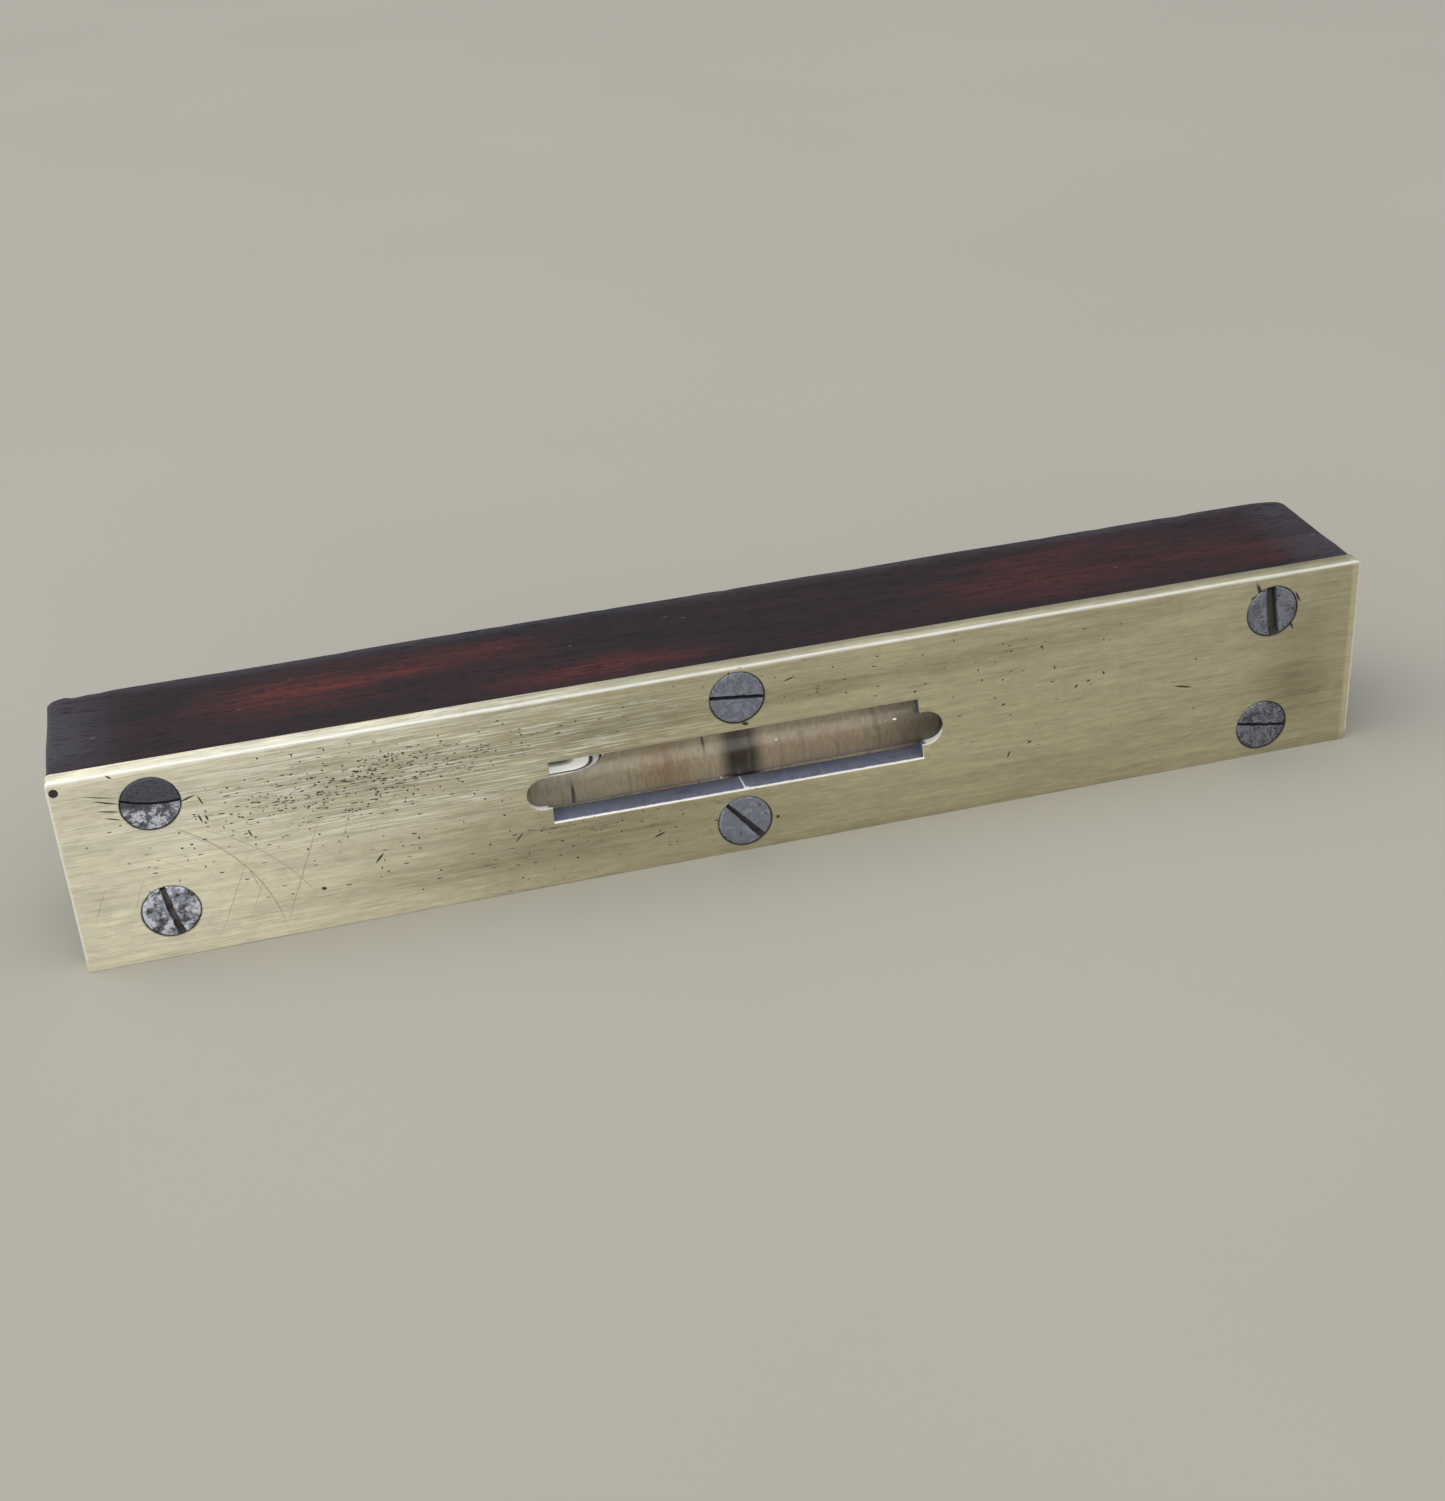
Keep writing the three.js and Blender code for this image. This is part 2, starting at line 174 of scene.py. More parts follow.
# ---------------------------------------------------------------- shader nodes
class Shader:
    """One material's node tree, with short calls for the nodes that the materials share."""

    def __init__(self, name):
        self.material = bpy.data.materials.new(name)
        self.material.use_nodes = True
        self.tree = self.material.node_tree
        self.surface = self.tree.nodes["Principled BSDF"]
        coordinates = self.add("ShaderNodeTexCoord")
        scale = self.add("ShaderNodeVectorMath", operation="SCALE")
        scale.inputs["Scale"].default_value = 1 / MM
        self.link(coordinates.outputs["Object"], scale.inputs[0])
        self.mm = scale.outputs[0]
        split = self.add("ShaderNodeSeparateXYZ")
        self.link(self.mm, split.inputs[0])
        self.x, self.y, self.z = split.outputs

    def add(self, kind, **settings):
        node = self.tree.nodes.new(kind)
        for key, value in settings.items():
            setattr(node, key, value)
        return node

    def link(self, output, target):
        self.tree.links.new(output, target)

    def put(self, target, value):
        """Links a node's output to target, or sets a plain value there."""
        if isinstance(value, bpy.types.NodeSocket):
            self.link(value, target)
        else:
            target.default_value = value

    def set(self, **sockets):
        """Sets the Principled sockets: base_color sets Base Color, and so on."""
        for key, value in sockets.items():
            name = key.replace("_", " ").title().replace("Ior", "IOR")
            self.put(self.surface.inputs[name], value)

    def math(self, operation, a, b=0.0, clamp=False):
        node = self.add("ShaderNodeMath", operation=operation, use_clamp=clamp)
        self.put(node.inputs[0], a)
        self.put(node.inputs[1], b)
        return node.outputs[0]

    def plus(self, a, b):
        return self.math("ADD", a, b)

    def minus(self, a, b):
        return self.math("SUBTRACT", a, b)

    def times(self, a, b):
        return self.math("MULTIPLY", a, b)

    def most(self, a, b):
        return self.math("MAXIMUM", a, b)

    def least(self, a, b):
        return self.math("MINIMUM", a, b)

    def ramp(self, value, low, high, out_low=0.0, out_high=1.0):
        """A smooth step: value from low to high gives out_low to out_high."""
        node = self.add("ShaderNodeMapRange", interpolation_type="SMOOTHSTEP")
        for i, number in enumerate((value, low, high, out_low, out_high)):
            self.put(node.inputs[i], number)
        return node.outputs[0]

    def stretched(self, sizes, offset=0.0, turn=0.0):
        """Coordinates in which one unit is this many millimetres along X, Y and Z."""
        node = self.add("ShaderNodeMapping")
        self.link(self.mm, node.inputs["Vector"])
        node.inputs["Location"].default_value = (offset, offset, offset)
        node.inputs["Rotation"].default_value = (0, math.radians(turn), 0)
        node.inputs["Scale"].default_value = [1 / size for size in sizes]
        return node.outputs[0]

    def noise(self, sizes, detail=2.0, roughness=0.5, distortion=0.0, offset=0.0):
        node = self.add("ShaderNodeTexNoise")
        self.link(self.stretched(sizes, offset), node.inputs["Vector"])
        node.inputs["Scale"].default_value = 1
        node.inputs["Detail"].default_value = detail
        node.inputs["Roughness"].default_value = roughness
        node.inputs["Distortion"].default_value = distortion
        return node.outputs["Fac"]

    def flecks(self, sizes, share, radius, offset=0.0, turn=0.0):
        """Scattered flecks, as 0 to 1: a ragged blot in a share of the cells of these sizes."""
        place = self.stretched(sizes, offset, turn)
        ragged = self.add("ShaderNodeTexNoise")
        self.link(place, ragged.inputs["Vector"])
        ragged.inputs["Scale"].default_value = 3
        shift = self.add("ShaderNodeVectorMath", operation="SCALE")
        self.link(ragged.outputs["Color"], shift.inputs[0])
        shift.inputs["Scale"].default_value = 0.35
        moved = self.add("ShaderNodeVectorMath", operation="ADD")
        self.link(place, moved.inputs[0])
        self.link(shift.outputs[0], moved.inputs[1])
        node = self.add("ShaderNodeTexVoronoi", feature="F1")
        self.link(moved.outputs[0], node.inputs["Vector"])
        node.inputs["Scale"].default_value = 1
        pick = self.add("ShaderNodeSeparateColor")
        self.link(node.outputs["Color"], pick.inputs[0])
        size = self.times(self.plus(self.math("POWER", pick.outputs[1], 2), 0.35), radius)
        blot = self.ramp(self.math("DIVIDE", node.outputs["Distance"], size), 0.6, 1.1, 1, 0)
        return self.times(blot, self.ramp(self.minus(share, pick.outputs[0]), 0, 0.02))

    def between(self, value, low, high, soft):
        """1 where value lies from low to high, with soft edges outside."""
        rising = self.ramp(value, low - soft, low)
        falling = self.ramp(value, high, high + soft, 1, 0)
        return self.times(rising, falling)

    def blob(self, centre, radii, turn=0.0):
        """1 at a point, falling evenly to 0 at these radii: an ellipsoid turned about Y."""
        node = self.add("ShaderNodeMapping", vector_type="TEXTURE")
        self.link(self.mm, node.inputs["Vector"])
        node.inputs["Location"].default_value = centre
        node.inputs["Rotation"].default_value = (0, turn, 0)
        node.inputs["Scale"].default_value = radii
        ball = self.add("ShaderNodeTexGradient", gradient_type="SPHERICAL")
        self.link(node.outputs[0], ball.inputs[0])
        return ball.outputs["Fac"]

    def spot(self, x, z, radius_x, radius_z):
        """A soft oval spot on the plate's face."""
        return self.blob((x, 0, z), (radius_x, ENDLESS, radius_z))

    def spots(self, rows):
        """Soft oval spots added up, from rows of (x, z, radius_x, radius_z, strength)."""
        return self.total(*[self.times(self.spot(*row[:4]), row[4]) for row in rows])

    def scratches(self, rows):
        """Tapering scratches, as 0 to 1, from rows of (start x, start z, end x, end z, width)."""
        lines = []
        for start_x, start_z, end_x, end_z, width in rows:
            along, up = end_x - start_x, end_z - start_z
            middle = ((start_x + end_x) / 2, 0, (start_z + end_z) / 2)
            radii = (math.hypot(along, up) * 0.6, ENDLESS, width)
            lines.append(self.blob(middle, radii, -math.atan2(up, along)))
        return self.ramp(self.total(*lines), 0.1, 0.6)

    def spot_along_x(self, x, radius):
        """1 at this X, falling softly to 0 within the radius."""
        return self.blob((x, 0, 0), (radius, ENDLESS, ENDLESS))

    def distance(self, x, z):
        """How far a point of the plate's face is from (x, z), in millimetres."""
        flat = self.add("ShaderNodeVectorMath", operation="MULTIPLY")
        self.link(self.mm, flat.inputs[0])
        flat.inputs[1].default_value = (1, 0, 1)
        node = self.add("ShaderNodeVectorMath", operation="DISTANCE")
        self.link(flat.outputs[0], node.inputs[0])
        node.inputs[1].default_value = (x, 0, z)
        return node.outputs["Value"]

    def arc(self, centre, radius, width, x_low, x_high):
        """A curved scratch on the plate's face: part of a circle between two X values."""
        off = self.minus(self.distance(*centre), radius)
        ends = self.between(self.x, x_low, x_high, 1.5)
        return self.times(ends, self.between(off, -width / 2, width / 2, width / 2))

    def mix(self, factor, a, b):
        """A mix of two colours, each a node's output or three numbers."""
        node = self.add("ShaderNodeMix", data_type="RGBA")
        self.put(node.inputs["Factor"], factor)
        for socket, value in ((node.inputs[6], a), (node.inputs[7], b)):
            self.put(socket, value if isinstance(value, bpy.types.NodeSocket) else (*value, 1))
        return node.outputs[2]

    def layered(self, base, *layers):
        """A colour with (factor, colour) layers over it."""
        for factor, colour in layers:
            base = self.mix(factor, base, colour)
        return base

    def scaled(self, colour, factor):
        """A colour made brighter or darker by a factor."""
        node = self.add("ShaderNodeVectorMath", operation="SCALE")
        self.link(colour, node.inputs[0])
        self.put(node.inputs["Scale"], factor)
        return node.outputs[0]

    def total(self, *values):
        result = values[0]
        for value in values[1:]:
            result = self.plus(result, value)
        return result

    def bump(self, height, depth):
        """Bends the surface by a height of 0 to 1, where 1 stands depth millimetres proud."""
        node = self.add("ShaderNodeBump")
        node.inputs["Strength"].default_value = 1
        node.inputs["Distance"].default_value = depth * MM
        self.link(height, node.inputs["Height"])
        self.link(node.outputs[0], self.surface.inputs["Normal"])


# ---------------------------------------------------------------- materials
def nearest_head(shader, places):
    """How far a point of the face is from the middle of the nearest screw head, in millimetres."""
    result = shader.distance(*places[0])
    for x, z in places[1:]:
        result = shader.least(result, shader.distance(x, z))
    return result


def outer_edge_gap(shader):
    """How far a point is from the nearest edge of the plate's outline, in millimetres."""
    x_gap = shader.minus(HALF_LENGTH, shader.math("ABSOLUTE", shader.x))
    z_gap = shader.least(shader.z, shader.minus(WIDTH, shader.z))
    return shader.least(x_gap, z_gap)


def brass_nicks(s):
    """Dark nicks and specks: thick in the upper left, scattered in the middle, few at the right."""
    crowd = s.spots([(-60, 23.6, 24, 6, 0.75), (-48, 26, 20, 4, 0.5)])
    scattered = s.spots([
        (-68, 20, 34, 14, 0.34),
        (-28, 10, 40, 11, 0.26),
        (48, 16, 40, 14, 0.06),
        (0, 27, 70, 6, 0.16),
    ])
    dots = s.flecks((1.3, 1.2, 0.9), scattered, 0.30, offset=17)
    strokes = s.flecks((2.0, 1.2, 0.55), scattered, 0.34, offset=29, turn=-6)
    slants = s.flecks((0.8, 1.2, 1.3), s.times(scattered, 0.7), 0.30, offset=5, turn=30)
    crowded = s.flecks((0.55, 0.6, 0.36), crowd, 0.40, offset=43, turn=-8)
    dashes = s.flecks((1.5, 0.6, 0.26), crowd, 0.36, offset=53, turn=-4)
    return s.most(s.most(dots, s.most(strokes, slants)), s.most(crowded, dashes))


def brass_smudges(s, streaky):
    """Soft brown tarnish where the plate has not been rubbed."""
    patches = s.spots([
        (-28, 9.5, 34, 8.5, 0.70),
        (-50, 5.5, 34, 3.6, 0.50),
        (-58, 23.5, 26, 6.5, 0.55),
        (-22, 25.8, 34, 3.0, 0.60),
        (16, 26.2, 30, 2.4, 0.60),
        (42, 27.2, 26, 2.2, 0.45),
        (91, 13.5, 9, 5.5, 0.85),
        (91, 8, 7, 5, 0.50),
        (92, 22, 6.5, 5, 0.40),
        (12, 5, 22, 2.6, 0.20),
        (58, 5.5, 36, 2.4, 0.15),
        (-92, 28, 12, 3.4, 0.35),
    ])
    return s.math("MULTIPLY", patches, s.ramp(streaky, 0.30, 0.66, 0.35, 1.0), clamp=True)


def brass_scratches(s):
    """Long curved and straight scratches at the left, as fine as a hair."""
    curved = s.total(
        s.arc((-99, -2), 27.3, 0.13, -84, -73),
        s.arc((-96, -9), 33, 0.08, -80, -68),
    )
    straight_ones = s.scratches([
        (-63.5, 22, -72.5, 0.7, 0.13),
        (-59.6, 21, -63.0, 12, 0.08),
        (-75.2, 16, -82.0, 1.5, 0.10),
        (-73.5, 12, -77.5, 3, 0.07),
        (-85.5, 21.6, -79.5, 17, 0.08),
        (-76.3, 13.8, -74.6, 8, 0.10),
        (-96.3, 14, -99.2, 7.5, 0.09),
        (-90.5, 15, -93.5, 8, 0.07),
        (-87.5, 16.5, -82.5, 13.2, 0.07),
        (70, 4.4, 78, 8.5, 0.10),
        (31.7, 25.2, 32.5, 27.0, 0.14),
        (62, 9, 74, 12, 0.06),
    ])
    return s.most(curved, straight_ones)


def brass_burrs(s):
    """The deeper dark nicks: where a driver has slipped by a screw, and single ones all over the plate."""
    return s.scratches([
        (83.5, 31.5, 85.0, 27.8, 0.50),
        (82.6, 28.4, 84.6, 29.0, 0.45),
        (90.3, 28.8, 91.4, 26.5, 0.28),
        (89.7, 23.6, 90.5, 21.9, 0.30),
        (-0.6, 22.5, 0.7, 22.1, 0.45),
        (-95.8, 28.2, -91.7, 26.9, 0.20),
        (-97.2, 29.2, -92.0, 28.0, 0.13),
        (-95.6, 26.5, -91.9, 25.7, 0.18),
        (-94.6, 25.2, -91.9, 24.3, 0.16),
        (-84.0, 25.6, -81.2, 26.5, 0.22),
        (-81.2, 26.4, -80.5, 24.4, 0.18),
        (6.2, 28.2, 8.2, 28.9, 0.20),
        (-93.1, 31.9, -92.2, 31.2, 0.22),
        (4.1, 5.2, 4.7, 4.8, 0.42),
        (-15.6, 5.2, -13.2, 6.1, 0.26),
        (-81.6, 23.3, -81.1, 21.6, 0.22),
        (-80.6, 23.0, -80.3, 21.8, 0.25),
        (-75.1, 19.4, -74.6, 17.8, 0.20),
        (-66.2, 7.2, -65.3, 6.9, 0.45),
        (-57.8, 9.6, -56.2, 11.4, 0.28),
        (-36.7, 8.8, -35.2, 10.5, 0.18),
        (47.5, 26.7, 48.1, 26.5, 0.32),
        (49.8, 22.9, 50.1, 22.3, 0.22),
        (53.3, 18.2, 54.0, 19.0, 0.26),
        (55.3, 19.0, 56.1, 19.4, 0.24),
        (58.1, 20.5, 58.3, 19.8, 0.24),
        (70.0, 15.6, 73.8, 14.6, 0.24),
        (41.1, 17.5, 42.0, 17.8, 0.26),
        (42.2, 7.9, 42.7, 9.3, 0.22),
        (45.6, 10.2, 46.3, 10.1, 0.30),
        (26.9, 22.4, 27.3, 22.9, 0.24),
    ])


def brass_material(heads):
    """Old brass, rubbed lengthwise: straw-coloured at the left, duller, darker and olive at the right.
    The paler left is partly the brass's own tone and partly painted light, where the light falls
    brightest.

    heads holds the (x, z) of each screw's middle; round and under each head the brass is darker.
    """
    s = Shader("aged_brass")
    brushing = s.noise((7, 0.6, 0.18), detail=5, roughness=0.70)
    hairlines = s.noise((8, 0.6, 0.20), detail=3, roughness=0.60, offset=3)
    broad = s.noise((16, 3, 1.1), detail=4, roughness=0.6, offset=23)
    clouds = s.noise((30, 9, 9), detail=3, roughness=0.5, distortion=0.3, offset=11)
    mottle = s.noise((2.4, 1.8, 0.9), detail=5, roughness=0.70, offset=31)
    streaky = s.noise((9, 2, 0.8), detail=5, roughness=0.7, offset=57)

    # Partly painted light: towards the left the brass turns paler and less metallic, where the light falls
    # brightest
    left_tone_and_light = s.ramp(s.x, 10, -95)
    tone = s.mix(left_tone_and_light, (0.60, 0.55, 0.375), (0.83, 0.775, 0.60))
    scuffed = s.spot(-50, 24, 54, 11)
    contrast = s.total(0.75, s.times(left_tone_and_light, 0.35), s.times(scuffed, 0.9))
    grain = s.plus(1.0, s.times(s.minus(brushing, 0.5), contrast))
    grain = s.plus(grain, s.times(s.minus(broad, 0.5), 0.50))
    grain = s.plus(grain, s.times(s.minus(clouds, 0.5), 0.35))
    grain = s.plus(grain, s.times(s.minus(mottle, 0.5), 0.55))
    grain = s.times(grain, s.ramp(s.x, 78, 97, 1.0, 0.86))
    tone = s.scaled(tone, s.times(grain, s.plus(1, s.times(scuffed, -0.20))))

    on_face = s.ramp(s.y, FACE_Y + 0.5, FACE_Y + 0.2)
    # Painted highlight: near-white glints along the hairlines, thickest where the plate is scuffed
    painted_glints = s.times(s.ramp(hairlines, 0.535, 0.585), s.plus(0.08, s.times(scuffed, 1.9)))
    smudges = s.times(brass_smudges(s, streaky), on_face)
    dark_lines = s.times(s.ramp(streaky, 0.60, 0.72), s.ramp(smudges, 0.02, 0.4, 0.12, 0.8))
    nicks = s.times(brass_nicks(s), on_face)
    scratches = s.math("MULTIPLY", brass_scratches(s), s.ramp(mottle, 0.3, 0.55, 0.4, 0.9), clamp=True)
    burrs = s.math("MULTIPLY", brass_burrs(s), on_face, clamp=True)
    off = nearest_head(s, heads)
    rim_line = s.between(off, SCREW_HEAD_R + 0.10, SCREW_HEAD_R + 0.22, 0.10)
    rim = s.times(rim_line, s.ramp(mottle, 0.35, 0.6, 0.15, 0.7))
    sunk = s.times(s.ramp(off, 4.6, 4.4), s.ramp(s.y, FACE_Y + 0.08, FACE_Y + 0.22))
    # Darker in a patchy ring round each screw head and in the countersink beneath it
    dark_round_heads = s.most(rim, sunk)
    gap = outer_edge_gap(s)
    # Painted highlight, partly burnished wear: the outer arrises near-white, except along the bottom edge,
    # away from the light
    edge = s.times(s.ramp(gap, 0.50, 0.12), s.ramp(s.y, FACE_Y + 0.9, FACE_Y + 0.3))
    edge = s.times(edge, s.ramp(s.z, 0.8, 2.5))
    right_end = s.ramp(s.x, HALF_LENGTH - 1.7, HALF_LENGTH - 0.9)
    right_rub = s.times(right_end, s.ramp(mottle, 0.25, 0.5, 0.3, 0.9))

    colour = s.layered(
        tone,
        (painted_glints, (1.0, 0.99, 0.90)),
        (smudges, (0.27, 0.235, 0.140)),
        (dark_lines, (0.13, 0.105, 0.06)),
        (s.times(scratches, 0.6), (0.27, 0.22, 0.12)),
        (s.times(right_rub, 0.6), (0.86, 0.80, 0.56)),
        (s.times(edge, s.ramp(mottle, 0.28, 0.5, 0.7, 1.0)), (0.99, 0.975, 0.90)),
        (s.times(nicks, s.ramp(mottle, 0.32, 0.54, 0.45, 1.0)), (0.050, 0.038, 0.026)),
        (burrs, (0.035, 0.028, 0.022)),
        (dark_round_heads, (0.030, 0.024, 0.018)),
    )
    dull = s.math("MAXIMUM", s.most(nicks, burrs), s.most(dark_round_heads, s.times(smudges, 0.35)), clamp=True)
    rough = s.total(s.ramp(brushing, 0.3, 0.7, 0.25, 0.36), s.times(clouds, 0.10), s.times(dull, 0.3))
    metal = s.times(s.ramp(dull, 0.2, 0.8, 1.0, 0.25), s.ramp(left_tone_and_light, 0, 1, 0.92, 0.55))
    s.set(base_color=colour, roughness=rough, metallic=metal, anisotropic=0.55)
    tangent = s.add("ShaderNodeTangent", direction_type="RADIAL", axis="Z")
    s.link(tangent.outputs[0], s.surface.inputs["Tangent"])
    height = s.total(
        s.times(brushing, 0.45),
        s.times(hairlines, 0.35),
        s.times(mottle, 0.25),
        s.times(nicks, -2.5),
        s.times(burrs, -3.0),
        s.times(scratches, -1.0),
    )
    s.bump(height, 0.012)
    return s.material


def filed_wall_material():
    """The window's inner walls: dull dark metal with slanting file marks and white scribed marks at the
    middle.
    Its blue cast is a painted reflection of the cool sky; the bright lower arris and lobe walls are
    burnished brass with a painted highlight.
    """
    s = Shader("window_wall_patina")
    file_marks = s.noise((0.30, 3, 3), detail=3, roughness=0.65)
    mottle = s.noise((3.0, 1.2, 1.2), detail=4, roughness=0.6, offset=7)
    chips = s.noise((0.8, 0.5, 0.5), detail=2, offset=19)
    # Dark patina with a painted blue cast: a reflection of the cool sky
    tone = s.mix(s.ramp(file_marks, 0.35, 0.7, 0, 0.45), (0.155, 0.165, 0.225), (0.25, 0.26, 0.34))
    tone = s.mix(s.ramp(mottle, 0.5, 0.72, 0, 0.6), tone, (0.085, 0.085, 0.115))
    # Painted highlight, partly burnished brass: near-white along the lower arris and the lobes' walls,
    # only on the lower side, which faces the light
    arris = s.ramp(s.plus(s.y, s.times(chips, 0.25)), FACE_Y + 0.58, FACE_Y + 0.40)
    lit_lower_side = s.ramp(s.z, VIAL_AXIS_Z, VIAL_AXIS_Z - 1.5)
    lobes = s.plus(s.ramp(s.x, 28.5, 29.2), s.ramp(s.x, -30.7, -31.4))
    scribed = s.between(s.plus(s.x, s.times(s.y, 0.12)), -2.15, -1.95, 0.07)
    blob = s.times(s.between(s.x, -0.55, 0.1, 0.2), s.ramp(s.y, FACE_Y + 0.8, FACE_Y + 0.4))
    bright = s.math("MAXIMUM", s.most(arris, lobes), s.most(s.times(scribed, 0.8), blob), clamp=True)
    colour = s.layered(tone, (s.times(bright, lit_lower_side), (0.97, 0.96, 0.90)))
    s.set(base_color=colour, roughness=s.ramp(file_marks, 0.3, 0.7, 0.45, 0.6), metallic=0.5)
    s.bump(s.plus(s.times(file_marks, 0.7), s.times(mottle, 0.5)), 0.02)
    return s.material


def rosewood_glow(s):
    """Where the red of the wood shows through on the sides: patches along X, each at its own depth Y."""
    rows = [
        (-62, 2.5, 22, 9, 1.3),
        (-38, 4.5, 16, 8, 0.6),
        (-19, -6.5, 21, 6, 1.0),
        (54, 1, 30, 13, 0.55),
        (88, -1, 20, 12, 0.4),
    ]
    patches = []
    for x, y, along, deep, strength in rows:
        patches.append(s.times(s.blob((x, y, 0), (along, deep, ENDLESS)), strength))
    return s.total(*patches)


def rosewood_material():
    """Rosewood under an old oil finish: purple-black, with mahogany red where it has been rubbed."""
    s = Shader("rosewood")
    figure = s.noise((30, 4.5, 3.2), detail=5, roughness=0.62, distortion=0.5)
    fine = s.noise((11, 0.55, 0.45), detail=4, roughness=0.62, distortion=0.3, offset=9)
    fibres = s.noise((17, 0.17, 0.15), detail=3, roughness=0.65, offset=19)
    wide = s.noise((26, 9, 9), detail=3, roughness=0.5, offset=41)
    pores = s.most(
        s.flecks((3.4, 0.40, 0.40), 0.50, 0.42, offset=2),
        s.flecks((2.0, 0.25, 0.25), 0.45, 0.40, offset=13),
    )
    bruises = s.flecks((2.6, 1.5, 1.5), 0.09, 0.17, offset=27, turn=12)

    glow = s.times(rosewood_glow(s), s.ramp(s.plus(figure, s.times(fine, 0.35)), 0.50, 0.80, 0.25, 1.15))
    x_gap = s.minus(HALF_LENGTH, s.math("ABSOLUTE", s.x))
    sole_gap = s.minus(STOCK_HIGH.y, s.y)
    # Towards the ends and the sole: glossier from handling, and blue-grey, a painted sheen of the cool sky
    # on the dark wood
    ends = s.ramp(x_gap, 13, 2)
    near_sole = s.ramp(sole_gap, 4.5, 0.5)
    handled_and_sheen = s.times(s.most(ends, near_sole), s.ramp(wide, 0.3, 0.6, 0.55, 1.0))

    on_sole = s.ramp(s.y, STOCK_HIGH.y - 1.2, STOCK_HIGH.y - 0.2)
    sole_figure = s.times(on_sole, s.ramp(s.plus(figure, s.times(fine, 0.3)), 0.60, 0.78))

    base = s.mix(s.ramp(figure, 0.36, 0.64), (0.0070, 0.0060, 0.0085), (0.020, 0.0085, 0.0110))
    base = s.mix(s.ramp(wide, 0.42, 0.66, 0, 0.6), base, (0.024, 0.0085, 0.0105))
    colour = s.layered(
        base,
        (s.times(sole_figure, 0.7), (0.050, 0.0165, 0.0125)),
        (s.math("MULTIPLY", glow, 0.75, clamp=True), (0.076, 0.0140, 0.0125)),
        (s.math("MULTIPLY", glow, s.ramp(fine, 0.45, 0.68, 0, 0.75), clamp=True), (0.128, 0.024, 0.016)),
        (s.ramp(fibres, 0.50, 0.70, 0.0, 0.55), (0.010, 0.0065, 0.0085)),
        (s.times(handled_and_sheen, 0.75), (0.0460, 0.0420, 0.0560)),
        (s.times(pores, 0.75), (0.005, 0.004, 0.005)),
        (s.times(bruises, 0.35), (0.16, 0.13, 0.13)),
    )
    rough = s.total(
        s.ramp(fine, 0.3, 0.7, 0.40, 0.52),
        s.times(pores, 0.2),
        s.times(handled_and_sheen, -0.05),
    )
    s.set(base_color=colour, roughness=rough, specular_ior_level=0.21)
    s.set(coat_weight=0.04, coat_roughness=0.30)
    height = s.total(
        s.times(pores, -1.0),
        s.times(fibres, 0.6),
        s.times(fine, 0.4),
        s.times(wide, 0.6),
    )
    s.bump(height, 0.05)
    return s.material


def steel_material(name, middle_z, look):
    """An old iron screw: dark scale with a painted blue cast of the cool sky, brighter bare patches, pits,
    and rust in the slot, which painted shade darkens too.
    """
    s = Shader(name)
    seed = look["seed"]
    blotches = s.noise((1.7, 1.7, 1.7), detail=5, roughness=0.66, offset=seed * 3.7)
    speckle = s.noise((0.34, 0.34, 0.34), detail=3, roughness=0.6, offset=seed + 5)
    grain = s.noise((0.9, 0.12, 0.12), detail=2, roughness=0.6, offset=seed + 9)
    scale = look["scale"]
    scale_colour = (0.145 * scale, 0.152 * scale, 0.190 * scale)
    tone = s.mix(s.ramp(speckle, 0.36, 0.66), scale_colour, (0.25, 0.265, 0.32))
    # Painted shade: above this height the head turns dark, and bare patches show only below it
    lit = s.ramp(s.z, middle_z + look["painted_shade_above"], middle_z + look["painted_shade_above"] - 1.5)
    bare = s.times(s.ramp(blotches, 0.48, 0.56), s.ramp(speckle, 0.36, 0.52, 0.55, 1))
    bare = s.times(s.times(bare, lit), look["bare"])
    rust = s.times(s.ramp(blotches, 0.47, 0.38), s.ramp(speckle, 0.36, 0.52, 0.45, 1))
    pits = s.flecks((0.85, 0.85, 0.85), 0.30, 0.30, offset=seed + 2)
    # Painted shade in the slot, mixed with rust
    deep = s.ramp(s.y, FACE_Y + 0.35, FACE_Y + 0.9)
    slot_shade_and_rust = s.mix(look["rust"], (0.035, 0.032, 0.032), (0.075, 0.050, 0.042))
    colour = s.layered(
        tone,
        (bare, (0.80, 0.83, 0.93)),
        (s.times(rust, look["rust"]), (0.045, 0.032, 0.028)),
        (s.times(s.minus(1, lit), 0.6), (0.060, 0.058, 0.068)),
        (s.times(pits, 0.7), (0.045, 0.035, 0.035)),
    )
    colour = s.mix(s.times(deep, 0.9), colour, slot_shade_and_rust)
    rough = s.plus(s.ramp(blotches, 0.35, 0.65, 0.50, 0.38), s.times(speckle, 0.15))
    metal = s.ramp(s.plus(rust, deep), 0.2, 1.0, 0.85, 0.35)
    s.set(base_color=colour, roughness=rough, metallic=metal)
    s.bump(s.total(s.times(speckle, 0.8), s.times(grain, 0.3), s.times(pits, -1.5)), 0.03)
    return s.material


def brad_material():
    s = Shader("brad_iron")
    scale = s.noise((0.25, 0.25, 0.25), detail=3, roughness=0.6)
    colour = s.mix(s.ramp(scale, 0.35, 0.65), (0.018, 0.016, 0.016), (0.060, 0.050, 0.045))
    s.set(base_color=colour, roughness=s.ramp(scale, 0.3, 0.7, 0.5, 0.75), metallic=0.4)
    s.bump(scale, 0.03)
    return s.material


